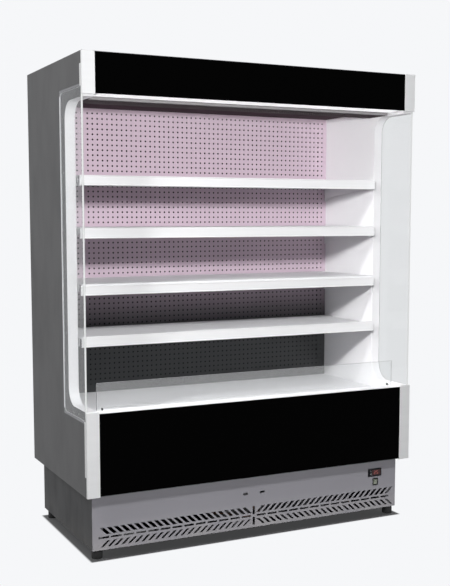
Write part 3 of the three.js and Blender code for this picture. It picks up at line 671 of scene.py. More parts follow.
class Coat:
    """The fridge's finishes. Their colours are linear."""

    LINER = PowderCoat("white_liner_coat", (0.80, 0.795, 0.81), specular=0.06)
    SHEET = PowderCoat("white_sheet_coat", (0.83, 0.83, 0.845), 0.45, specular=0.12)
    # Painted shade: the deck is a darker copy of the white sheet coat, for the shade that falls on it under the
    # shelves.
    SHADED_DECK = PowderCoat("deck_coat", (0.72, 0.72, 0.735), 0.45, specular=0.12)
    SHADE_SHELL = PowderCoat("dark_shell_coat", (0.03, 0.03, 0.031), 0.6, specular=0.05)
    CAP = Plastic("white_cap_plastic", (0.785, 0.79, 0.80), 0.38, 0.15)
    RAIL = Plastic("white_rail_plastic", (0.84, 0.84, 0.85), 0.34, 0.15)
    SIDE = PowderCoat("grey_side_coat", (0.115, 0.115, 0.117), 0.48, specular=0.08)
    PLINTH = PowderCoat("grey_plinth_coat", (0.152, 0.149, 0.163), 0.46, dust=0.22, specular=0.12)
    # Painted shade: a darker copy of the plinth paint for the shade under the end panels; its dust is real.
    SHADED_PLINTH_SIDE = PowderCoat("grey_plinth_side_coat", (0.027, 0.027, 0.028), 0.5, dust=0.12, specular=0.1)
    # Painted shade: the insulated body is near black for the shade behind the perforated back.
    BLACK = PowderCoat("black_front_coat", (0.0006, 0.0006, 0.0006), 0.3, 0.00001, specular=0.01)
    # The low colour is painted shade on the perforated back behind the two lowest shelf spaces.
    LILAC = PowderCoat("lilac_grey_coat", (0.62, 0.50, 0.58), 0.5, specular=0.06, low=(0.085, 0.088, 0.09))
    # Painted shade: the canopy ceiling is dark for the shade under the header.
    SHADED_CEILING = PowderCoat("ceiling_coat", (0.11, 0.085, 0.095), 0.55, specular=0.0)
    UPRIGHT = PowderCoat("upright_coat", (0.07, 0.065, 0.068), 0.5, specular=0.1)
    ZINC = Zinc("galvanised_sheet", (0.42, 0.42, 0.43))
    # Painted shade: a dark copy of the galvanised sheet for the shade on the base frame under the cabinet.
    SHADED_BASE_ZINC = Zinc("galvanised_base", (0.07, 0.07, 0.073), 70.0)
    # The arm colour is painted shade on the bright strip's level arms.
    TRIM = Brushed("bright_trim_metal", (0.93, 0.935, 0.95), 0.34, arm_shade=(0.20, 0.20, 0.21))
    ROLLER = Brushed("roller_metal", (0.7, 0.71, 0.72), 0.3, (0.02, 1.0, 1.0))
    SCREW = Brushed("screw_metal", (0.5, 0.5, 0.51), 0.3, (1.0, 1.0, 1.0))
    FIN = Brushed("fin_metal", (0.42, 0.43, 0.44), 0.4, (1.0, 1.0, 0.1))
    COPPER = Brushed("copper_pipe_metal", (0.20, 0.11, 0.07), 0.3, (1.0, 1.0, 1.0))
    PANE = Glass("side_pane_glass", (0.82, 0.83, 0.83), 1.17)
    RISER = Glass("riser_glass", (0.9, 0.91, 0.91), 2.1)
    BORDER = Print("pane_border_print", tone(66, 66, 68))
    DOT = Print("pane_pin_print", tone(205, 205, 206))
    # Painted light: the pane edges glow, though no lamp is in them, so that they show pale.
    GLOW_EDGE = Lit("ground_glass_edge", (0.28, 0.285, 0.285), 1.6, 700.0)
    # Painted shade: the honeycomb outlet is dark for the shade under the canopy.
    SHADED_GRILLE = Plastic("comb_plastic", (0.12, 0.10, 0.108), 0.6, 0.0)
    LAMP = Lit("opal_diffuser", (0.90, 0.90, 0.91), 0.68, 9.0)
    CLOTH = Woven("blind_cloth_weave", (0.6, 0.61, 0.63))
    DRAWN_CLOTH = Woven("drawn_cloth_weave", (0.6, 0.61, 0.63), drawn=21.0)
    BAR = Plastic("blind_bar_plastic", (0.30, 0.29, 0.295), 0.45, 0.05)
    DARK = Plastic("dark_moulded_plastic", (0.04, 0.04, 0.042), 0.55)
    BEZEL = Plastic("black_moulded_plastic", (0.008, 0.008, 0.010), 0.35, 0.08)
    FOOT = Plastic("foot_plastic", (0.005, 0.005, 0.006), 0.32, 0.10)
    POT = PowderCoat("compressor_coat", (0.012, 0.012, 0.013), 0.25, 0.00008)
    GREEN = Lit("pale_green_rocker_plastic", (0.21, 0.23, 0.18), 0.12, 300.0)
    WINDOW = Plastic("display_window_plastic", (0.035, 0.004, 0.004), 0.15, 0.4)
    DIGIT = Lit("red_digit_light", (0.34, 0.06, 0.05), 0.55, 400.0)
    MARK = Print("white_mark_print", tone(225, 225, 225))


class Body(Enum):
    """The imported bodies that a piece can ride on."""

    CABINET = "cabinet"
    TUBE = "blind_tube"
    BAR = "blind_bar"
    ROCKER = "switch_rocker"
    KEY_UP = "key_up"
    KEY_DOWN = "key_down"
    LEFT_FAN = "evaporator_rotor_left"
    RIGHT_FAN = "evaporator_rotor_right"
    CONDENSER_FAN = "condenser_rotor"
    FOOT_FRONT_LEFT = "foot_fl"
    FOOT_FRONT_RIGHT = "foot_fr"
    FOOT_REAR_LEFT = "foot_rl"
    FOOT_REAR_RIGHT = "foot_rr"


class Slot(Enum):
    """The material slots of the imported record."""

    EXTERIOR_PAINT = "exterior_paint"
    WHITE_LINER = "white_liner"
    BRIGHT_TRIM = "bright_trim"
    PANE_GLASS = "pane_glass"
    WHITE_CAP = "white_cap"
    BLACK_PANEL = "black_panel"
    WHITE_SHEET = "white_sheet"
    LAMP_DIFFUSER = "lamp_diffuser"
    DISCHARGE_COMB = "discharge_comb"
    BLIND_FABRIC = "blind_fabric"
    ROLLER_TUBE = "roller_tube"
    BLIND_BAR = "blind_bar"
    PERFORATED_SHEET = "perforated_sheet"
    PRICE_RAIL = "price_rail"
    RISER_PANE = "riser_pane"
    BLACK_PLASTIC = "black_plastic"
    ZINC_SHEET = "zinc_sheet"
    FAN_PLASTIC = "fan_plastic"
    COIL_METAL = "coil_metal"
    COMPRESSOR_PAINT = "compressor_paint"
    PLINTH_PAINT = "plinth_paint"
    FOOT_PLASTIC = "foot_plastic"
    BASE_STEEL = "base_steel"
    LIT_GREEN = "lit_green"


@dataclass
class Piece:
    """What a new piece is: its name and finish, where it rides and what it stands for.

    A piece without a body is tied to the frame by its maker. Edges that turn by more than smooth degrees stay sharp,
    or are rounded by bevel metres.
    """

    name: str
    finish: Finish
    slot: Slot
    body: Body | None = Body.CABINET
    stands_for: tuple[str, ...] = ()
    bevel: float = 0.0
    smooth: float = 35.0

    def of(self, surface: Surface) -> bpy.types.Object:
        """Makes the piece from a surface, with its doubles merged and its faces turned outwards.

        Args:
            surface: the piece's surface, in place.

        Returns:
            The piece's object.
        """
        mesh = bpy.data.meshes.new(self.name)
        mesh.from_pydata(surface.points.tolist(), [], [face for array in surface.faces for face in array.tolist()])
        work = bmesh.new()
        work.from_mesh(mesh)
        bmesh.ops.remove_doubles(work, verts=work.verts, dist=WELD)
        bmesh.ops.recalc_face_normals(work, faces=work.faces)
        work.to_mesh(mesh)
        work.free()
        return self.finished(mesh)

    def copy(self, *nodes: str) -> bpy.types.Object:
        """Makes the piece from CAD nodes, which it then stands for: doubles merged and flat facets joined.

        Args:
            nodes: the nodes' names.

        Returns:
            The piece's object.
        """
        self.stands_for = nodes
        mesh = bpy.data.meshes.new(self.name)
        work = bmesh.new()
        for node in nodes:
            work.from_mesh(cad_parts[node].data)
        bmesh.ops.remove_doubles(work, verts=work.verts, dist=CAD_WELD)
        flat = math.radians(FACET_DEGREES)
        bmesh.ops.dissolve_limit(work, angle_limit=flat, verts=work.verts, edges=work.edges)
        work.to_mesh(mesh)
        work.free()
        return self.finished(mesh)

    def finished(self, mesh: bpy.types.Mesh) -> bpy.types.Object:
        """Shades, bevels and dresses the mesh, and ties the piece to the frame.

        Args:
            mesh: the piece's mesh, in place.

        Returns:
            The piece's object.
        """
        made = bpy.data.objects.new(self.name, mesh)
        bpy.context.scene.collection.objects.link(made)
        mesh.polygons.foreach_set("use_smooth", np.ones(len(mesh.polygons), bool))
        mesh.set_sharp_from_angle(angle=math.radians(self.smooth))
        mesh.materials.append(self.finish.material())
        if self.bevel:
            edge = made.modifiers.new("rounded_edges", "BEVEL")
            edge.width, edge.segments, edge.limit_method = self.bevel, BEVEL_STEPS, "ANGLE"
            edge.angle_limit, edge.harden_normals = math.radians(self.smooth), True
        if self.stands_for:
            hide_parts(*self.stands_for)
        if self.body is not None:
            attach(made, self.body.value)
        LOG.info("%-28s %6d faces", self.name, len(mesh.polygons))
        return made


def dress(finish: Finish, *nodes: str) -> None:
    """Gives CAD nodes a finish in their material slots.

    Args:
        finish: the finish.
        nodes: the nodes' names.
    """
    for node in nodes:
        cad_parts[node].material_slots[0].material = finish.material()
        LOG.info("%-28s dressed", node)


def screws(places: Sequence[Sequence[float]], axis: Axis, radius: float = 0.0045, proud: float = 0.0006) -> Surface:
    """Makes pan-head screws: a shallow dome proud metres high, with a round socket.

    Args:
        places: the points under the heads.
        axis: the axis that the heads face along.
        radius: a head's radius.
        proud: a head's height.

    Returns:
        The screws as one surface.
    """
    root = -0.001
    profile = [[0, root], [radius, root], [radius, proud * 0.3], [radius * 0.86, proud * 0.8],
               [radius * 0.45, proud], [radius * 0.4, -proud * 0.4], [0, -proud * 0.4]]
    return joined(lathe(profile, place, axis, 12) for place in places)


@dataclass
class EndPanels:
    """The two insulated ends: grey outer sheets, white walls, panes with printed borders, bright strips and caps.

    The print fills the space between the window opening and the pane's edge, which are given by their lowest and
    highest points and by how far they reach back from the front plane. Its film lies between two values of X.
    """

    film: tuple[float, float] = (0.74182, 0.74190)
    opening: tuple[float, float, float] = (0.594, 1.780, 0.230)
    opening_corner: float = 0.070
    pane: tuple[float, float, float] = (0.560, 1.816, 0.273)
    pane_corner: float = 0.02
    print_start: float = 0.016
    pin: tuple[float, float] = (0.003, 0.00005)
    pin_places: tuple[tuple[float, float], ...] = (
        (0.1666, 0.5705), (0.103, 0.5738), (0.2527, 1.5078), (0.2525, 0.8772))
    glow_edge_low: Point = (0.7427, FRONT + 0.0138, 0.5595)
    glow_edge_high: Point = (0.7498, FRONT + 0.0142, 1.8165)

    def build(self) -> None:
        """Builds both ends."""
        for name in ("left", "right"):
            Piece(f"{name}_outer_sheet", Coat.SIDE, Slot.EXTERIOR_PAINT, bevel=0.0005).copy(f"{name}_end_skin")
            Piece(f"{name}_inner_wall", Coat.LINER, Slot.WHITE_LINER, bevel=0.0015).copy(f"{name}_end_wall")
            Piece(f"{name}_bright_strip", Coat.TRIM, Slot.BRIGHT_TRIM, bevel=0.0005).copy(f"{name}_pane_trim")
            Piece(f"{name}_pane", Coat.PANE, Slot.PANE_GLASS, bevel=0.0008).copy(f"{name}_side_glass")
            for part in ("header", "lower"):
                Piece(f"{name}_{part}_end_cap", Coat.CAP, Slot.WHITE_CAP, bevel=0.0012).copy(f"{name}_{part}_cap")
        Piece("pane_borders", Coat.BORDER, Slot.BLACK_PANEL).of(self.both(self.border()))
        Piece("pane_border_pins", Coat.DOT, Slot.WHITE_CAP).of(self.both(self.pins()))
        # Painted light: glowing strips along the panes' front edges.
        edge = boxes(self.glow_edge_low, self.glow_edge_high)
        Piece("frosted_pane_edges", Coat.GLOW_EDGE, Slot.PANE_GLASS).of(self.both(edge))

    def both(self, surface: Surface) -> Surface:
        """Returns the surface and its copy at the other end."""
        return joined((surface, surface.mirrored()))

    def band(self, low: float, high: float, back: float, corner: float) -> np.ndarray:
        """Draws a C-shaped line that is open to the front, with a quarter circle at each of its two corners.

        Args:
            low: the line's lowest point.
            high: its highest point.
            back: how far it reaches back from the front plane.
            corner: the radius of its corners.

        Returns:
            The line's points in Y and Z, from the top to the bottom.
        """
        turn = np.linspace(0, np.pi / 2, 12)
        y, front = FRONT + back - corner, FRONT + self.print_start
        upper = np.stack([y + corner * np.sin(turn), high - corner + corner * np.cos(turn)], -1)
        lower = np.stack([y + corner * np.cos(turn), low + corner - corner * np.sin(turn)], -1)
        return np.vstack([[front, high], upper, lower, [front, low]])

    def border(self) -> Surface:
        """Makes the printed border: a rectangle a film thick, carried along between two C-shaped lines.

        Returns:
            The border of the right end.
        """
        inner = self.band(*self.opening, self.opening_corner)
        outer = self.band(*self.pane, self.pane_corner)
        near, far = self.film
        corners = ((inner, near), (outer, near), (outer, far), (inner, far))
        return grid(np.stack([np.insert(line, Axis.X, x, 1) for line, x in corners], 1), caps=True)

    def pins(self) -> Surface:
        """Makes the pale pins that show in the border: thin discs on the film.

        Returns:
            The pins of the right end.
        """
        radius, height = self.pin
        disc = [[0, 0], [radius, 0], [radius, height], [0, height]]
        return joined(lathe(disc, (self.film[1], FRONT + depth, z), Axis.X, 16) for depth, z in self.pin_places)


@dataclass
class Header:
    """The canopy: black front, white housing, lit strip, honeycomb air outlet, ceiling and the night blind.

    The outlet, the cloth and the bar are given by their limits in X, Y or Z, and the roller by its axis in Y and Z.
    Wound is the radius of the cloth on the roller and its thickness. Hub is the roller's profile at one end, as radius
    and distance from the middle, and bar_cap is where a cap of the bar ends and begins.
    """

    cell: float = 0.0065
    hole: float = 0.0056
    grille: tuple[float, float, float, float] = (-0.6994, 0.6994, -0.226, -0.106)
    grille_height: tuple[float, float] = (1.782, 1.794)
    grille_edge: float = 0.008
    edge_lap: float = 0.004
    cell_inset: float = 0.0005
    roller: tuple[float, float] = (-0.277, 1.850)
    wound: tuple[float, float] = (0.0199, 0.0006)
    hub: tuple[tuple[float, float], ...] = (
        (0, 0.6997), (0.006, 0.6997), (0.006, 0.692), (0.016, 0.6915), (0.016, 0.683), (0.0175, 0.683),
        (0.0175, 0.681))
    cloth: tuple[float, float, float, float] = (-0.2566, -0.2560, 1.796, 1.850)
    cloth_half: float = 0.680
    bar: tuple[float, float] = (-0.2653, -0.2473)
    bar_half: float = 0.6822
    bar_cap: tuple[float, float] = (0.685, 0.6825)

    def build(self) -> None:
        """Builds the canopy and the blind."""
        Piece("header_front", Coat.BLACK, Slot.BLACK_PANEL, bevel=0.0008).copy("header_front_panel")
        Piece("header_case", Coat.SHEET, Slot.WHITE_SHEET, bevel=0.0006).copy("header_housing")
        Piece("lit_strip", Coat.LAMP, Slot.LAMP_DIFFUSER, bevel=0.001).copy("header_lamp")
        # Painted shade: the ceiling's dark colour stands for the shade under the canopy.
        dress(Coat.SHADED_CEILING, "canopy_ceiling")
        # Painted shade: the outlet's dark colour stands for the shade under the canopy.
        Piece("honeycomb_outlet", Coat.SHADED_GRILLE, Slot.DISCHARGE_COMB, stands_for=("air_discharge_grille",)).of(self.comb())
        self.blind()

    def comb(self) -> Surface:
        """Makes the outlet: rows of six-sided cells, each six walls round a six-sided hole, inside a frame.

        Corner k of a cell and of its hole is at angle (k + 1/2) pi / 3, at the radii cell and hole.

        Returns:
            The outlet.
        """
        left, right, front, back = self.grille
        step, row = self.cell * math.sqrt(3), self.cell * 1.5
        edge = self.grille_edge
        rows = int((back - front - 2 * edge) / row)
        columns = int((right - left - 2 * edge) / step)
        j, i = np.meshgrid(np.arange(rows), np.arange(columns), indexing="ij")
        x = (i - (columns - 1) / 2 + (j % 2) / 2 - 0.25) * step
        y = (front + back) / 2 + (j - (rows - 1) / 2) * row
        centre = np.stack([x, y], -1).reshape(-1, 1, 2)
        angle = np.arange(6) * np.pi / 3 + np.pi / 6
        ring = np.stack([np.cos(angle), np.sin(angle)], -1)
        points = np.concatenate([centre + self.cell * ring, centre + self.hole * ring], 1)
        k, following = np.arange(6), (np.arange(6) + 1) % 6
        faces = np.concatenate([np.stack([k, following, following + 6], -1),
                                np.stack([k, following + 6, k + 6], -1)])
        low, high = self.grille_height
        cells = plate(points[:, faces].reshape(-1, 3, 2), Axis.Z, low + self.cell_inset, high - self.cell_inset)
        wide, end = edge + self.edge_lap, [right, back, high]
        bars = boxes([[left, front, low], [left, back - wide, low], [left, front, low], [right - edge, front, low]],
                     [[right, front + wide, high], end, [left + edge, back, high], end])
        return joined((cells, bars))

    def blind(self) -> None:
        """Builds the spring roller with its wound cloth, the hanging cloth and the pull bar.

        The wound cloth is a spiral of one turn: at angle a its radius is the roll's less thickness a / 2 pi.
        """
        y, z = self.roller
        radius, thickness = self.wound
        angle = np.linspace(0, 2 * np.pi, 49)
        spiral = radius - thickness * angle / (2 * np.pi)
        wound = np.stack([y + spiral * np.cos(angle), z + spiral * np.sin(angle)], -1)
        Piece("blind_cloth_roll", Coat.CLOTH, Slot.BLIND_FABRIC, Body.TUBE).of(
            prism(wound, Axis.X, -self.cloth_half, self.cloth_half))
        hub = [(r, -x) for r, x in self.hub] + list(self.hub[::-1])
        Piece("blind_spring_roller", Coat.ROLLER, Slot.ROLLER_TUBE, Body.TUBE, ("blind_roller",)).of(
            lathe(hub, (0, y, z), Axis.X, 28))
        self.hanging()
        front, back = self.bar
        profile = rounded([[front, 1.7835], [front + 0.0025, 1.781], [back - 0.0025, 1.781], [back, 1.7835],
                           [back, 1.7925], [back - 0.0055, 1.7957], [front + 0.0045, 1.7957], [front + 0.0005, 1.792],
                           [front + 0.003, 1.789], [front + 0.003, 1.787]], 0.0012, 4)
        outer, inner = self.bar_cap
        caps = [prism(profile, Axis.X, side * outer, side * inner) for side in SIDES]
        Piece("blind_grip_bar", Coat.BAR, Slot.BLIND_BAR, Body.BAR, ("blind_pull_bar",)).of(
            joined((prism(profile, Axis.X, -self.bar_half, self.bar_half), *caps)))

    def hanging(self) -> None:
        """Hangs the cloth: a flat sheet from the roller to the bar, which the bar draws down with it.

        Its UV map is X and Z at rest, in metres.
        """
        front, back, low, high = self.cloth
        x, z = np.linspace(-self.cloth_half, self.cloth_half, 9), np.linspace(high, low, 49)
        across = np.concatenate([x, x[::-1]])
        depth = np.repeat([front, back], len(x))
        points = np.stack(np.broadcast_arrays(across[None], depth[None], z[:, None]), -1)
        piece = Piece("blind_hanging_cloth", Coat.DRAWN_CLOTH, Slot.BLIND_FABRIC, None, ("blind_cloth",))
        cloth = piece.of(grid(points, caps=True))
        place = np.array([cloth.data.vertices[loop.vertex_index].co for loop in cloth.data.loops])
        uv = cloth.data.uv_layers.new(name="cloth")
        uv.data.foreach_set("uv", place[:, [Axis.X, Axis.Z]].astype(np.float32).ravel())
        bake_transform(cloth)


@dataclass
class Interior:
    """The cold space: perforated back, uprights, shelves, price rails, deck, grille, sill and riser glass.

    The perforated panel is given by its limits in X and Z and its depth in Y, and the bracket slots in its side
    strips by their limits in X and the heights of their middles. Each rail is given by its lowest and highest point.
    """

    pitch: float = 0.0225
    columns: int = 61
    hole: float = 0.0043
    plain_edge: float = 0.002
    panel: tuple[float, float, float] = (0.6994, 0.548, 1.8067)
    depth: tuple[float, float] = (0.265, 0.267)
    slot_x: tuple[float, float] = (0.690, 0.696)
    slot_heights: tuple[float, ...] = (1.457, 1.257, 1.007, 0.807)
    slot_half: float = 0.016
    strip_gap: float = 0.00005
    rails: tuple[tuple[float, float], ...] = ((1.460, 1.500), (1.251, 1.294), (1.025, 1.0635), (0.818, 0.861))
    rail_depth: tuple[float, float] = (-0.169, -0.1633)
    rail_half: float = 0.692
    clip_x: float = 0.667
    clip_low: Point = (-0.0025, -0.3225, 0.5895)
    clip_high: Point = (0.0025, -0.3195, 0.5990)
    clip_step: float = 0.0100

    def build(self) -> None:
        """Builds the cold space."""
        # Painted shade: the body shows near black through the back panel's holes.
        dress(Coat.SHADE_SHELL, "insulated_body")
        dress(Coat.UPRIGHT, "shelf_uprights")
        Piece("perforated_back", Coat.LILAC, Slot.PERFORATED_SHEET, stands_for=("perforated_back_panel",)).of(
            self.back())
        for number, (low, high) in enumerate(self.rails, 1):
            Piece(f"shelf_tray_{number}", Coat.SHEET, Slot.WHITE_SHEET, bevel=0.0005).copy(f"shelf_{number}")
            Piece(f"price_strip_{number}", Coat.RAIL, Slot.PRICE_RAIL, stands_for=(f"price_rail_{number}",)).of(
                self.rail(low, high))
        Piece("front_sill_moulding", Coat.SHEET, Slot.WHITE_SHEET, bevel=0.0012).copy("front_sill")
        # Painted shade: the deck takes the darker copy of the white sheet coat.
        Piece("deck_tray", Coat.SHADED_DECK, Slot.WHITE_SHEET, bevel=0.0006).copy("display_deck")
        Piece("return_grille", Coat.SHEET, Slot.WHITE_SHEET, bevel=0.0003).copy("return_air_grille")
        riser = Piece("riser_pane_glass", Coat.RISER, Slot.RISER_PANE, bevel=0.0008).copy("riser_glass")
        riser.visible_shadow = False
        Piece("lower_front", Coat.BLACK, Slot.BLACK_PANEL, bevel=0.0008).copy("lower_front_panel")
        Piece("riser_clips", Coat.DARK, Slot.BLACK_PLASTIC, bevel=0.0006).of(self.clips())

    def back(self) -> Surface:
        """Makes the back sheet: a cell with a hole for each column and row, plain strips and slotted edges.

        Column and row lines are pitch apart, from the middle of the panel outwards. The side strips stand a hair off
        the pierced field, as sheets of their own.

        Returns:
            The sheet.
        """
        right, low, high = self.panel
        rows = int((high - low - 2 * self.plain_edge) / self.pitch)
        x = (np.arange(self.columns + 1) - self.columns / 2) * self.pitch
        z = (low + high) / 2 + (np.arange(rows + 1) - rows / 2) * self.pitch
        cell_low, cell_high = lattice(x, z)
        holes = pierced((cell_low + cell_high) / 2, (cell_high - cell_low) / 2, self.hole)
        plain = [rectangles(*lattice(x, np.array(pair))) for pair in ((low, z[0]), (z[-1], high))]
        field = plate(np.concatenate([holes, *plain]), Axis.Y, *self.depth)
        lines = np.sort([low, high, *(h + side * self.slot_half for h in self.slot_heights for side in SIDES)])
        strip_low, strip_high = lattice(np.array([x[-1] + self.strip_gap, *self.slot_x, right]), lines)
        middle, near = (strip_low + strip_high) / 2, 0.001
        slot = (abs(middle[:, 0] - sum(self.slot_x) / 2) < near) & np.any(
            abs(middle[:, 1:] - np.array(self.slot_heights)) < near, axis=1)
        edge = plate(rectangles(strip_low[~slot], strip_high[~slot]), Axis.Y, *self.depth)
        return joined((field, edge, edge.mirrored()))

    def rail(self, low: float, high: float) -> Surface:
        """Makes a price rail: a strip 5.7 mm deep with a lip along its top and bottom that holds the cards.

        Args:
            low: the rail's lowest point.
            high: its highest point.

        Returns:
            The rail.
        """
        front, back = self.rail_depth
        outline = [[back, low], [front + 0.001, low], [front, low + 0.001], [front, low + 0.003],
                   [front + 0.0011, low + 0.0042], [front + 0.0011, high - 0.0042], [front, high - 0.003],
                   [front, high - 0.001], [front + 0.001, high], [back, high]]
        return prism(outline, Axis.X, -self.rail_half, self.rail_half)

    def clips(self) -> Surface:
        """Makes the clips that hold the riser glass in the sill's groove: one in front and one behind at each end.

        Returns:
            The four clips.
        """
        corner = np.array([[side * self.clip_x, step, 0] for step in (0, self.clip_step) for side in SIDES])
        return boxes(corner + self.clip_low, corner + self.clip_high)


@dataclass
class OuterSheets:
    """The pressed sheets of the back and the roof, with beads and screws.

    The screws stand in columns at side_screws each side of the middle, and in rows at the X of row_screws.
    """

    half: float = 0.7475
    thickness: float = 0.0012
    bead: float = 0.0005
    bead_half: float = 0.007
    bead_end: float = 0.012
    beads: int = 9
    pitch: float = 0.149
    rear: tuple[float, float, float] = (0.2612, 1.9435, 0.16)
    rear_face: float = 0.3745
    roof: tuple[float, float, float] = (-0.3625, 0.3748, 0.12)
    roof_face: float = 1.9455
    tongue: tuple[Point, Point] = ((-0.6975, -0.3747, 1.9443), (0.6975, -0.3620, 1.9455))
    side_screws: float = 0.738
    row_screws: tuple[float, float, int] = (-0.60, 0.60, 7)
    rear_column: tuple[float, float, int] = (0.30, 1.90, 9)
    rear_rows: tuple[float, float] = (0.272, 1.932)
    roof_column: tuple[float, float, int] = (-0.30, 0.34, 5)
    roof_row: float = 0.362
    sunk: float = 0.0001

    def build(self) -> None:
        """Builds the two sheets and their screws."""
        rear = self.sheet(*self.rear)
        rear = Surface(rear.points[:, [Axis.X, Axis.Z, Axis.Y]], rear.faces).moved(y=self.rear_face)
        Piece("pressed_rear_sheet", Coat.ZINC, Slot.ZINC_SHEET, stands_for=("rear_panel",), smooth=60).of(rear)
        roof = self.sheet(*self.roof).moved(z=self.roof_face)
        Piece("pressed_roof_sheet", Coat.ZINC, Slot.ZINC_SHEET, stands_for=("roof_panel",), smooth=60).of(
            joined((roof, boxes(*self.tongue))))
        row, ends = np.linspace(*self.row_screws), [side * self.side_screws for side in SIDES]
        y, z = self.rear_face - self.sunk, self.roof_face - self.sunk
        rear_places = [(x, y, height) for x in ends for height in np.linspace(*self.rear_column)]
        rear_places += [(x, y, height) for x in row for height in self.rear_rows]
        roof_places = [(x, depth, z) for x in ends for depth in np.linspace(*self.roof_column)]
        roof_places += [(x, self.roof_row, z) for x in row]
        Piece("sheet_screws", Coat.SCREW, Slot.ZINC_SHEET).of(
            joined((screws(rear_places, Axis.Y), screws(roof_places, Axis.Z))))

    def sheet(self, start: float, end: float, margin: float) -> Surface:
        """Presses beads in a sheet: with u from -1 to 1 across a bead its height is bead (1 + cos(pi u)) / 2.

        The height fades over bead_end at a bead's two ends, as sin(pi v / 2) with v from 0 to 1.

        Args:
            start: where the sheet begins along its length.
            end: where it ends.
            margin: the plain length at each end.

        Returns:
            The closed sheet, with its length in the second axis and its height in the third.
        """
        centre = (np.arange(self.beads) - (self.beads - 1) / 2) * self.pitch
        u = np.linspace(-1, 1, 9)
        x = np.concatenate([[-self.half], (centre[:, None] + u * self.bead_half).ravel(), [self.half]])
        across = np.concatenate([[0], np.tile((1 + np.cos(np.pi * u)) / 2, self.beads), [0]])
        fade = np.linspace(0, 1, 7)
        run = fade * self.bead_end
        y = np.concatenate([[start], start + margin + run, end - margin - run[::-1], [end]])
        along = np.concatenate([[0], np.sin(fade * np.pi / 2), np.sin(fade[::-1] * np.pi / 2), [0]])
        x_grid, y_grid = np.meshgrid(x, y)
        height = self.bead * along[:, None] * across
        top = np.stack([x_grid, y_grid, height], -1)
        under = np.stack([x_grid, y_grid, height - self.thickness], -1)
        shell = np.concatenate([top, under[:, ::-1]], 1)
        return grid(shell, caps=True)


@dataclass(frozen=True)
class Fan:
    """An axial fan that turns about Y: a domed hub with swept, twisted blades.

    The hub is a share of the radius, and half_thick is half of a blade's thickness.
    """

    name: str
    node: str
    body: Body
    centre: Point
    radius: float
    depth: float
    blades: int = 7
    hub: float = 0.3
    half_thick: float = 0.0007

    def build(self) -> None:
        """Builds the rotor."""
        root = self.radius * self.hub
        half = self.depth / 2
        dome = [[0, -half], [root * 0.55, -half], [root * 0.9, -half * 0.8], [root, -half * 0.45], [root, half],
                [root * 0.86, half], [root * 0.86, -half * 0.3], [root * 0.3, -half * 0.4], [root * 0.3, half * 0.7],
                [0, half * 0.7]]
        hub = lathe(dome, (0, 0, 0), Axis.Y, 40)
        blade = self.blade(root * 0.95)
        parts = [hub] + [blade.turned(Axis.Y, 360 * k / self.blades) for k in range(self.blades)]
        Piece(self.name, Coat.DARK, Slot.FAN_PLASTIC, self.body, (self.node,), smooth=50).of(
            joined(parts).moved(*self.centre))

    def blade(self, root: float) -> Surface:
        """Makes one blade, with s from 0 at its root to 1 at its tip and t from 0 to 1 between its edges.

        A point is at radius root + s (tip - root)(1 - 0.03 (2t - 1)^2), at angle 0.55 s^2 + (0.95 - 0.2 s)(t - 1/2),
        and along Y at depth (t - 1/2)(0.86 - 0.25 s) plus a camber of 0.02 tip (sin(pi t) - 1/2). The two faces lie
        half_thick sqrt(sin(pi t)) each side of that and come together at the edges.

        Args:
            root: the radius at which the blade starts, inside the hub.

        Returns:
            The closed blade.
        """
        s, t = np.linspace(0, 1, 12)[:, None], np.linspace(0, 1, 13)
        loop = np.concatenate([t, t[-2:0:-1]])[None]
        side = np.concatenate([np.ones(len(t)), -np.ones(len(t) - 2)])[None]
        thickness = side * self.half_thick * np.sqrt(np.maximum(np.sin(np.pi * loop), 0.02))
        radius = root + s * (self.radius - root) * (1 - 0.03 * (2 * loop - 1) ** 2)
        angle = 0.55 * s ** 2 + (0.95 - 0.2 * s) * (loop - 0.5)
        camber = 0.02 * self.radius * (np.sin(np.pi * loop) - 0.5)
        along = self.depth * (loop - 0.5) * (0.86 - 0.25 * s) + camber + thickness
        points = np.stack(np.broadcast_arrays(radius * np.cos(angle), along, radius * np.sin(angle)), -1)
        return grid(points, caps=True)


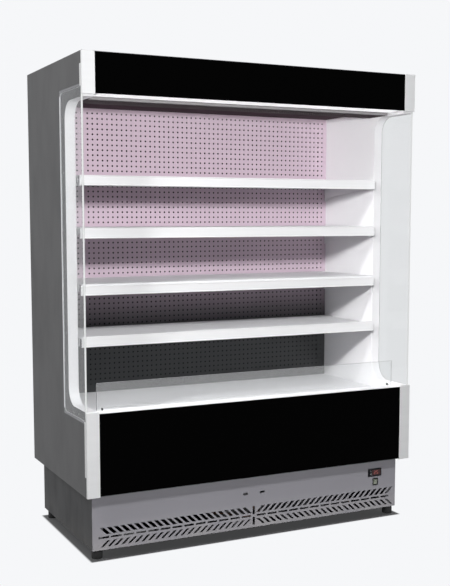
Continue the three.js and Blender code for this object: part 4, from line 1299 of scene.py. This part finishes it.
@dataclass(frozen=True)
class Coil:
    """A finned heat exchanger: thin fins across X, tubes along X, and return bends past its two end plates.

    The fins fill the space between low and high, and the end plates that between plate_low and plate_high in Y and Z.
    """

    name: str
    node: str
    low: Point
    high: Point
    plate_low: tuple[float, float]
    plate_high: tuple[float, float]
    pitch: float
    tube_rows: int
    tube_columns: int
    reach: float
    tube_radius: float = 0.0048
    fin_half: float = 0.00012
    fin_start: float = 0.001
    plate_thickness: float = 0.0015

    def build(self) -> None:
        """Builds the fins with their end plates, and the copper run."""
        (x0, y0, z0), (x1, y1, z1) = self.low, self.high
        fins = int((x1 - x0) / self.pitch)
        x = np.linspace(x0 + self.fin_start, x1 - self.fin_start, fins)
        low = np.column_stack([x - self.fin_half, np.full(fins, y0), np.full(fins, z0)])
        high = np.column_stack([x + self.fin_half, np.full(fins, y1), np.full(fins, z1)])
        plates = boxes([(x0 - self.plate_thickness, *self.plate_low), (x1, *self.plate_low)],
                       [(x0, *self.plate_high), (x1 + self.plate_thickness, *self.plate_high)])
        Piece(self.name, Coat.FIN, Slot.COIL_METAL, stands_for=(self.node,)).of(joined((boxes(low, high), plates)))
        Piece(f"{self.name}_pipes", Coat.COPPER, Slot.COIL_METAL, smooth=60).of(joined(self.pipes()))

    def pipes(self) -> list[Surface]:
        """Makes one pipe for each tube row: it runs back and forth along X, with half circles past the plates.

        Returns:
            The pipes.
        """
        (x0, y0, z0), (x1, y1, z1) = self.low, self.high
        heights = z0 + (np.arange(self.tube_columns) + 0.5) * (z1 - z0) / self.tube_columns
        depths = y0 + (np.arange(self.tube_rows) + 0.5) * (y1 - y0) / self.tube_rows
        bend = (heights[1] - heights[0]) / 2
        turn = np.linspace(-np.pi / 2, np.pi / 2, 9)
        straight = self.reach - bend - self.tube_radius
        made = []
        for y in depths:
            line = []
            for at, z in enumerate(heights):
                near, far = (x0 - straight, x1 + straight) if at % 2 == 0 else (x1 + straight, x0 - straight)
                line.append([[near, y, z], [far, y, z]])
                if at < len(heights) - 1:
                    side = 1 if far > near else -1
                    line.append(np.stack([far + side * bend * np.cos(turn), np.full_like(turn, y),
                                          z + bend + bend * np.sin(turn)], -1)[1:-1])
            made.append(tube(np.vstack(line), self.tube_radius, 8, (0, 1, 0)))
        return made


@dataclass
class Compressor:
    """A hermetic compressor: welded pot, foot plate on grommets, terminal cover, and the pipes that leave it.

    Place is the middle of the pot's underside, and top is how far above it the pipes leave. The condenser's pipes
    are at condenser_port in X and Y, and the pipes to the cold space end under the tub at tub_height.
    """

    place: Point = (-0.120, 0.045, 0.0534)
    top: float = 0.150
    grommets: tuple[float, float] = (0.085, 0.055)
    condenser_port: tuple[float, float] = (0.0245, -0.262)
    tub_height: float = 0.2605
    drier: Point = (-0.2, -0.2, 0.20)
    pipe: float = 0.004
    suction_pipe: float = 0.005

    def build(self) -> None:
        """Builds the pot, its fittings and the refrigerant pipes."""
        self.pot()
        self.fittings()
        self.pipes()

    def pot(self) -> None:
        """Builds the pot, a turned profile, with the foot plate under it."""
        pot = rounded([[0.0001, 0.001], [0.066, 0.001], [0.087, 0.016], [0.088, 0.072], [0.0925, 0.074],
                       [0.0925, 0.080], [0.088, 0.082], [0.087, 0.118], [0.076, 0.150], [0.045, 0.165],
                       [0.0001, 0.169]], 0.008, 4, False)
        outline = rounded([[-0.105, -0.05], [-0.08, -0.072], [0.08, -0.072], [0.105, -0.05], [0.105, 0.05],
                           [0.08, 0.072], [-0.08, 0.072], [-0.105, 0.05]], 0.015)
        foot = prism(outline, Axis.Z, -0.006, -0.003)
        Piece("compressor_pot", Coat.POT, Slot.COMPRESSOR_PAINT, stands_for=("compressor",), smooth=40).of(
            joined((lathe(pot, (0, 0, 0), Axis.Z, 56), foot)).moved(*self.place))

    def fittings(self) -> None:
        """Builds the four grommets, turned rings, and the terminal cover."""
        grommet = rounded([[0.005, -0.015], [0.013, -0.015], [0.013, -0.009], [0.0085, -0.0075], [0.013, -0.006],
                           [0.012, 0.001], [0.005, 0.001]], 0.001, 3)
        across, deep = self.grommets
        rubber = [lathe(grommet, (x * across, y * deep, 0), Axis.Z, 20, ring=True) for x in SIDES for y in SIDES]
        outline = rounded([[-0.112, 0.035], [-0.084, 0.035], [-0.084, 0.095], [-0.112, 0.095]], 0.006)
        cover = prism(outline, Axis.Y, -0.032, 0.032)
        Piece("compressor_fittings", Coat.BEZEL, Slot.BLACK_PLASTIC, bevel=0.0005, smooth=40).of(
            joined((*rubber, cover)).moved(*self.place))

    def pipes(self) -> None:
        """Builds the discharge, liquid and suction pipes, tubes along rounded lines, and the turned filter drier."""
        x, y, z = self.place
        top = z + self.top
        port_x, port_y = self.condenser_port
        drier_x, drier_y, _ = self.drier
        discharge = [(x + 0.05, y - 0.03, top), (x + 0.05, y - 0.03, top + 0.035), (x + 0.10, y - 0.12, top + 0.035),
                     (x + 0.10, port_y, top + 0.02), (port_x, port_y, top + 0.01)]
        liquid = [(port_x, port_y, 0.066), (-0.03, port_y, 0.066), (-0.06, drier_y, 0.066), (-0.19, drier_y, 0.09),
                  (drier_x, drier_y, 0.15), (drier_x, drier_y, self.tub_height)]
        suction = np.array([(x - 0.06, y + 0.04, top - 0.01), (x - 0.06, y + 0.04, self.tub_height)])
        runs = [tube(rounded(line, 0.03, 7, False), self.pipe) for line in (discharge, liquid)]
        drier = rounded([[0.0001, -0.045], [0.004, -0.045], [0.011, -0.036], [0.011, 0.036], [0.004, 0.045],
                         [0.0001, 0.045]], 0.004, 4, False)
        runs += [tube(suction, self.suction_pipe), lathe(drier, self.drier, Axis.Z, 20)]
        Piece("refrigerant_pipes", Coat.COPPER, Slot.COIL_METAL, smooth=60).of(joined(runs))


@dataclass
class Machinery:
    """Everything that cools: coils, fans, compressor and drain tray."""

    coils: tuple[Coil, ...] = (
        Coil("evaporator_coil", "evaporator", low=(-0.560, -0.075, 0.329), high=(0.560, 0.145, 0.500),
             plate_low=(-0.083, 0.3096), plate_high=(0.153, 0.508), pitch=0.006, tube_rows=6, tube_columns=5,
             reach=0.023),
        Coil("condenser_coil", "condenser", low=(0.040, -0.295, 0.045), high=(0.480, -0.225, 0.235),
             plate_low=(-0.301, 0.0383), plate_high=(-0.221, 0.239), pitch=0.0035, tube_rows=3, tube_columns=7,
             reach=0.018, tube_radius=0.004),
    )
    fans: tuple[Fan, ...] = (
        Fan("evaporator_rotor_blades_left", "left_evaporator_fan", Body.LEFT_FAN, centre=(-0.300, -0.134, 0.425),
            radius=0.0715, depth=0.022),
        Fan("evaporator_rotor_blades_right", "right_evaporator_fan", Body.RIGHT_FAN, centre=(0.300, -0.134, 0.425),
            radius=0.0715, depth=0.022),
        Fan("condenser_rotor_blades", "condenser_fan", Body.CONDENSER_FAN, centre=(0.260, -0.192, 0.140),
            radius=0.0815, depth=0.0255, blades=5),
    )

    def build(self) -> None:
        """Builds the machinery."""
        dress(Coat.ZINC, "evaporator_fan_plate")
        for part in (*self.coils, *self.fans):
            part.build()
        Piece("fan_shroud", Coat.DARK, Slot.FAN_PLASTIC, bevel=0.0005).copy("condenser_fan_shroud")
        Piece("defrost_tray", Coat.DARK, Slot.FAN_PLASTIC, bevel=0.0006).copy("drain_tray")
        Compressor().build()


@dataclass
class Plinth:
    """The base: louvred front, sides, frame, adjustable feet and the cable gland.

    Each foot is given by its piece, its body and its axis in X and Y, and the gland by its axis in X and Z.
    """

    feet: tuple[tuple[str, Body, float, float], ...] = (
        ("foot_front_left", Body.FOOT_FRONT_LEFT, -0.690, -0.300),
        ("foot_front_right", Body.FOOT_FRONT_RIGHT, 0.690, -0.300),
        ("foot_rear_left", Body.FOOT_REAR_LEFT, -0.690, 0.300),
        ("foot_rear_right", Body.FOOT_REAR_RIGHT, 0.690, 0.300),
    )
    thread_pitch: float = 0.00125
    gland_axis: tuple[float, float] = (0.620, 0.120)

    def build(self) -> None:
        """Builds the base."""
        Piece("louvred_front", Coat.PLINTH, Slot.PLINTH_PAINT, bevel=0.0003).copy("plinth_front_panel")
        # Painted shade: the sides take the darker copy of the plinth paint.
        Piece("plinth_sides", Coat.SHADED_PLINTH_SIDE, Slot.PLINTH_PAINT, bevel=0.0003).copy("plinth_surround")
        # Painted shade: the base frame takes the dark copy of the galvanised sheet.
        dress(Coat.SHADED_BASE_ZINC, "base_frame")
        for name, body, x, y in self.feet:
            self.foot(name, body, x, y)
        Piece("cord_gland", Coat.BEZEL, Slot.BLACK_PLASTIC, stands_for=("cable_gland",)).of(self.gland())

    def foot(self, name: str, body: Body, x: float, y: float) -> None:
        """Builds one foot: a fluted puck, a hexagon collar and a threaded stem.

        With w the fraction left of z / pitch - angle / 2 pi, the stem's radius is 4.35 mm plus 0.6 |2w - 1| mm, which
        is a thread.

        Args:
            name: the CAD node that the foot stands for.
            body: the body that it rides.
            x: the foot's axis in X.
            y: its axis in Y.
        """
        puck = rounded([[0.0001, 0.0], [0.0205, 0.0], [0.0219, 0.0012], [0.0219, 0.027], [0.0195, 0.031],
                        [0.0125, 0.031]], 0.0012, 4, False)
        grip = lathe(np.vstack([puck, [[0.0001, 0.031]]]), (x, y, 0), Axis.Z, 96, flutes=0.0011, count=24)
        hexagon = [[0, 0.0308], [0.0125, 0.0308], [0.0125, 0.0337], [0.0118, 0.0344], [0, 0.0344]]
        collar = lathe(hexagon, (x, y, 0), Axis.Z, 6)
        z, angle = np.linspace(0.034, 0.060, 105)[:, None], np.linspace(0, 2 * np.pi, 16, endpoint=False)
        wave = (z / self.thread_pitch - angle / (2 * np.pi)) % 1
        radius = 0.00435 + 0.0006 * np.abs(2 * wave - 1)
        stem = np.stack(np.broadcast_arrays(x + radius * np.cos(angle), y + radius * np.sin(angle), z), -1)
        Piece(f"{name}_grip", Coat.FOOT, Slot.FOOT_PLASTIC, body, (name,), smooth=30).of(joined((grip, collar)))
        Piece(f"{name}_stem", Coat.SCREW, Slot.BASE_STEEL, body, smooth=50).of(grid(stem, caps=True))

    def gland(self) -> Surface:
        """Makes the cable gland along Y: shank, hexagon nut and ribbed dome round an open bore.

        A row is a radius at each angle: the nut's is flat / cos of the angle from the middle of its side, and the
        dome's is less a rib (1 + cos 16 angle) / 2.

        Returns:
            The gland.
        """
        angle = np.linspace(0, 2 * np.pi, 48, endpoint=False)
        flat = 0.01385 / np.cos((angle + np.pi / 6) % (np.pi / 3) - np.pi / 6)
        rib = 0.0118 - 0.0005 * (1 + np.cos(16 * angle)) / 2
        rows = [(0.0078, 0.3323), (0.0106, 0.3323), (0.0106, 0.3442), (flat * 0.96, 0.3442), (flat, 0.3450),
                (flat, 0.3500), (flat * 0.96, 0.3508), (rib, 0.3508), (rib, 0.3555), (rib * 0.93, 0.3578),
                (0.0095, 0.3587), (0.0078, 0.3587)]
        radius = np.stack([np.broadcast_to(r, angle.shape) for r, y in rows])
        y = np.array([y for r, y in rows])[:, None]
        x, z = self.gland_axis
        points = np.stack(np.broadcast_arrays(x + radius * np.cos(angle), y, z + radius * np.sin(angle)), -1)
        return grid(points, wrap_rows=True)


@dataclass
class Controls:
    """The controller with its keys and display, and the lit rocker switch.

    A digit is given by its width, its height and the width of its bars. The places are in X and Z on the face,
    which is the Y of the case's front.
    """

    face: float = -0.3270
    digit: tuple[float, float, float] = (0.0072, 0.0135, 0.0012)
    digit_place: tuple[float, float] = (0.5990, 0.19475)
    digit_step: float = 0.0125
    digit_film: tuple[float, float] = (0.00075, 0.0005)
    point_place: tuple[float, float] = (0.6088, 0.1948)
    point_radius: float = 0.0009
    reading: str = "25"
    key_middle: tuple[float, float] = (0.581, 0.0035)
    arrow: tuple[float, float] = (0.0025, 0.002)
    arrow_film: tuple[float, float] = (-0.32895, -0.32885)
    mark_film: tuple[float, float] = (-0.00415, -0.0038)
    rocker_axis: Point = (0.607, -0.322, 0.159)
    rocker_rest: float = 8.0
    rocker_dip: tuple[float, float] = (1.546, 11.0)

    def build(self) -> None:
        """Builds the controls."""
        Piece("controller_case", Coat.BEZEL, Slot.BLACK_PLASTIC, bevel=0.0006).copy("controller_bezel")
        for which, body, low in (("up", Body.KEY_UP, 0.204), ("down", Body.KEY_DOWN, 0.192)):
            Piece(f"{which}_key", Coat.DARK, Slot.BLACK_PLASTIC, body, bevel=0.0005).copy(f"controller_key_{which}")
            (x, z), (half, rise) = self.key_middle, self.arrow
            rise = rise if which == "up" else -rise
            arrow = np.array([[x - half, z - rise], [x + half, z - rise], [x, z + rise]]) + [0, low]
            Piece(f"{which}_key_arrow", Coat.MARK, Slot.BLACK_PLASTIC, body).of(prism(arrow, Axis.Y, *self.arrow_film))
        window = rounded([[0.5875, 0.189], [0.6335, 0.189], [0.6335, 0.214], [0.5875, 0.214]], 0.001, 4)
        Piece("display_window", Coat.WINDOW, Slot.BLACK_PLASTIC, bevel=0.0002).of(
            prism(window, Axis.Y, self.face - 0.0006, self.face + 0.0001))
        Piece("display_digits", Coat.DIGIT, Slot.LIT_GREEN).of(self.digits())
        Piece("switch_surround", Coat.BEZEL, Slot.BLACK_PLASTIC, bevel=0.0005).copy("switch_frame")
        Piece("lit_rocker", Coat.GREEN, Slot.LIT_GREEN, Body.ROCKER, bevel=0.0006).copy("rocker_switch")
        Piece("rocker_marks", Coat.MARK, Slot.WHITE_CAP, Body.ROCKER).of(self.marks())

    def digits(self) -> Surface:
        """Makes the reading in seven-segment digits, each segment a six-sided bar, with a point after the first.

        Returns:
            The digits.
        """
        width, height, bar = self.digit
        near, far = (self.face - proud for proud in self.digit_film)
        lit = {"2": "abged", "5": "afgcd"}
        ends = {"a": (0, 2, 1, 2), "b": (1, 1, 1, 2), "c": (1, 0, 1, 1), "d": (0, 0, 1, 0), "e": (0, 0, 0, 1),
                "f": (0, 1, 0, 2), "g": (0, 1, 1, 1)}
        parts = []
        for at, figure in enumerate(self.reading):
            for segment in lit[figure]:
                x0, z0, x1, z1 = (float(v) for v in ends[segment])
                start = np.array([x0 * width, z0 * height / 2])
                end = np.array([x1 * width, z1 * height / 2])
                along = (end - start) / np.linalg.norm(end - start)
                across = np.array([-along[1], along[0]]) * bar / 2
                start, end = start + along * bar * 0.6, end - along * bar * 0.6
                tip = along * bar / 2
                outline = np.array([start - tip, start - across, end - across, end + tip, end + across,
                                    start + across])
                parts.append(prism(outline + self.digit_place + [at * self.digit_step, 0], Axis.Y, near, far))
        x, z = self.point_place
        dot = [[0, 0], [self.point_radius, 0], [self.point_radius, far - near], [0, far - near]]
        parts.append(lathe(dot, (x, near, z), Axis.Y, 12))
        return joined(parts)

    def marks(self) -> Surface:
        """Makes the bar and the ring that mark on and off, on the rocker's two faces, tilted as it rests.

        Returns:
            The marks.
        """
        dip, half = self.rocker_dip
        slope = math.degrees(math.atan(dip / half))
        front, back = self.mark_film
        on = boxes((-0.0005, front, 0.0042), (0.0005, back, 0.0084)).turned(Axis.X, slope)
        ring = [[0.0017, front], [0.0023, front], [0.0023, back], [0.0017, back]]
        off = lathe(ring, (0, 0, -0.0062), Axis.Y, 24, ring=True).turned(Axis.X, -slope)
        return joined((on, off)).turned(Axis.X, self.rocker_rest).moved(*self.rocker_axis)


@dataclass(frozen=True)
class Lamp:
    """A small round lamp, whose light fades with distance as its falloff says."""

    name: str
    place: Point
    power: float
    radius: float
    falloff: Falloff = Falloff.NONE

    def build(self) -> bpy.types.Object:
        """Hangs the lamp.

        Returns:
            The lamp's object.
        """
        light = bpy.data.lights.new(self.name, "POINT")
        light.energy, light.shadow_soft_size = self.power, self.radius
        shader = Shader(light)
        level = shader.value("ShaderNodeLightFalloff", {}, {"Strength": 1.0}, self.falloff.value)
        glow = shader.value("ShaderNodeEmission", {}, {"Strength": level})
        shader.node("ShaderNodeOutputLight", {}, {"Surface": glow})
        lamp = bpy.data.objects.new(self.name, light)
        lamp.location = self.place
        lamp.visible_camera = lamp.visible_glossy = False
        bpy.context.scene.collection.objects.link(lamp)
        return lamp


@dataclass
class Studio:
    """The camera at the photograph's place, plain lamps, a pale backdrop and a floor that keeps the shadow.

    The floor shows the fridge's shadow inside footprint, half its width and depth, and for fade metres beyond it.
    """

    place: Point = (-1.929, -3.9792, 1.3360)
    tilt: float = 84.327
    pan: float = -26.285
    lens: float = 61.73
    shift: tuple[float, float] = (-0.0061, 0.0406)
    lamps: tuple[Lamp, ...] = (
        Lamp("front_lamp", (-0.55, -1.65, 1.71), power=32.0, radius=0.09),
        Lamp("high_lamp", (-2.75, -1.50, 3.06), power=66.0, radius=0.12, falloff=Falloff.SLOW),
        Lamp("side_lamp", (-2.75, -1.25, 1.60), power=7.0, radius=0.15),
        Lamp("rear_lamp", (2.60, 2.80, 2.60), power=34.0, radius=0.3),
    )
    low_lamp: Lamp = Lamp("low_lamp", (-0.35, -2.60, 0.14), power=38.0, radius=0.20)
    above: float = 3.4
    above_degrees: float = 2.0
    above_height: float = 3.0
    around: float = 0.09
    backward: float = 0.16
    footprint: tuple[float, float] = (0.722, 0.341)
    fade: float = 0.012
    pale_at_edge: float = 0.05
    dark_floor: Colour = (0.1, 0.1, 0.1)
    floor_half: float = 14.0
    floor_drop: float = 0.0005

    def build(self) -> None:
        """Builds the studio."""
        scene = bpy.context.scene
        scene.view_settings.view_transform = "Standard"
        camera = bpy.data.cameras.new("camera")
        camera.lens, (camera.shift_x, camera.shift_y) = self.lens, self.shift
        holder = bpy.data.objects.new("camera", camera)
        holder.location = self.place
        holder.rotation_euler = (math.radians(self.tilt), 0.0, math.radians(self.pan))
        scene.collection.objects.link(holder)
        scene.camera = holder
        floor = self.floor()
        self.overhead(floor)
        for lamp in self.lamps:
            lamp.build().light_linking.receiver_collection = self.receivers(floor, Reach.ALL_BUT)
        front = bpy.data.objects["louvred_front"]
        self.low_lamp.build().light_linking.receiver_collection = self.receivers(front, Reach.ONLY)
        self.world()

    def overhead(self, floor: bpy.types.Object) -> None:
        """Adds the light straight above that falls on the floor only, where the fridge's shadow stays.

        Args:
            floor: the floor.
        """
        light = bpy.data.lights.new("overhead_lamp", "SUN")
        light.energy, light.angle = self.above, math.radians(self.above_degrees)
        lamp = bpy.data.objects.new("overhead_lamp", light)
        lamp.location.z = self.above_height
        bpy.context.scene.collection.objects.link(lamp)
        lamp.light_linking.receiver_collection = self.receivers(floor, Reach.ONLY)

    def receivers(self, thing: bpy.types.Object, reach: Reach) -> bpy.types.Collection:
        """Makes the collection that says what a lamp lights.

        Most lamps leave out the floor, because it would take a shadow from each of them.

        Args:
            thing: what the collection names.
            reach: whether the lamp lights only that thing or all but it.

        Returns:
            The collection.
        """
        made = bpy.data.collections.new(f"{thing.name}_{reach.value.lower()}")
        made.objects.link(thing)
        made.collection_objects[0].light_linking.link_state = reach.value
        return made

    def seen(self, shader: Shader) -> Value:
        """Tells what is seen from what only gives light.

        Args:
            shader: the shader that asks.

        Returns:
            1 for rays from the camera, a reflection or glass, and 0 for light that falls on things.
        """
        path = shader.node("ShaderNodeLightPath")
        kinds = [Value(shader, path.outputs[f"Is {kind} Ray"]) for kind in ("Camera", "Glossy", "Transmission")]
        return kinds[0].math("MAXIMUM", kinds[1]).math("MAXIMUM", kinds[2])

    def world(self) -> None:
        """Makes the backdrop and the ambient light, weaker from the front so that the inside stays deep."""
        world = bpy.context.scene.world or bpy.data.worlds.new("studio")
        bpy.context.scene.world = world
        shader = Shader(world)
        along = shader.axis(Axis.Y, shader.value("ShaderNodeTexCoord", output="Generated"))
        strength = (along * self.backward + self.around).math("MAXIMUM", 0.0)
        light = shader.value("ShaderNodeBackground", {}, {"Color": WHITE_LIGHT, "Strength": strength})
        pale = shader.value("ShaderNodeBackground", {}, {"Color": BACKDROP, "Strength": 1.0})
        mixed = shader.value("ShaderNodeMixShader", {}, {0: self.seen(shader), 1: light, 2: pale})
        shader.node("ShaderNodeOutputWorld", {}, {"Surface": mixed})

    def floor(self) -> bpy.types.Object:
        """Lays the floor: it holds the shadow under the fridge and shows the backdrop's colour beside it.

        Light that falls on things meets a darker floor, so that undersides stay dark.

        Returns:
            The floor's object.
        """
        material = bpy.data.materials.new("studio_floor")
        shader = Shader(material)
        half_width, half_depth = self.footprint
        x = (abs(shader.axis(Axis.X)) - half_width).math("MAXIMUM", 0.0)
        y = (abs(shader.axis(Axis.Y)) - half_depth).math("MAXIMUM", 0.0)
        away = (x * x + y * y).math("SQRT").ramp(0.0, self.fade, self.pale_at_edge, 1.0)
        lit = shader.value("ShaderNodeBsdfDiffuse", {}, {"Color": BACKDROP})
        plain = shader.value("ShaderNodeEmission", {}, {"Color": BACKDROP, "Strength": 1.0})
        dark = shader.value("ShaderNodeBsdfDiffuse", {}, {"Color": self.dark_floor})
        shown = shader.value("ShaderNodeMixShader", {}, {0: away, 1: lit, 2: plain})
        mixed = shader.value("ShaderNodeMixShader", {}, {0: self.seen(shader), 1: dark, 2: shown})
        shader.node("ShaderNodeOutputMaterial", {}, {"Surface": mixed})
        mesh = bpy.data.meshes.new("studio_floor")
        half = self.floor_half
        mesh.from_pydata([(-half, -half, 0), (half, -half, 0), (half, half, 0), (-half, half, 0)], [], [(0, 1, 2, 3)])
        mesh.materials.append(material)
        floor = bpy.data.objects.new("studio_floor", mesh)
        floor.location.z = -self.floor_drop
        bpy.context.scene.collection.objects.link(floor)
        return floor


def main() -> None:
    """Builds the fridge and the studio."""
    logging.basicConfig(level=logging.INFO, format="%(message)s")
    for part in (EndPanels(), Header(), Interior(), OuterSheets(), Machinery(), Plinth(), Controls(), Studio()):
        part.build()


if __name__ == "__main__":
    main()
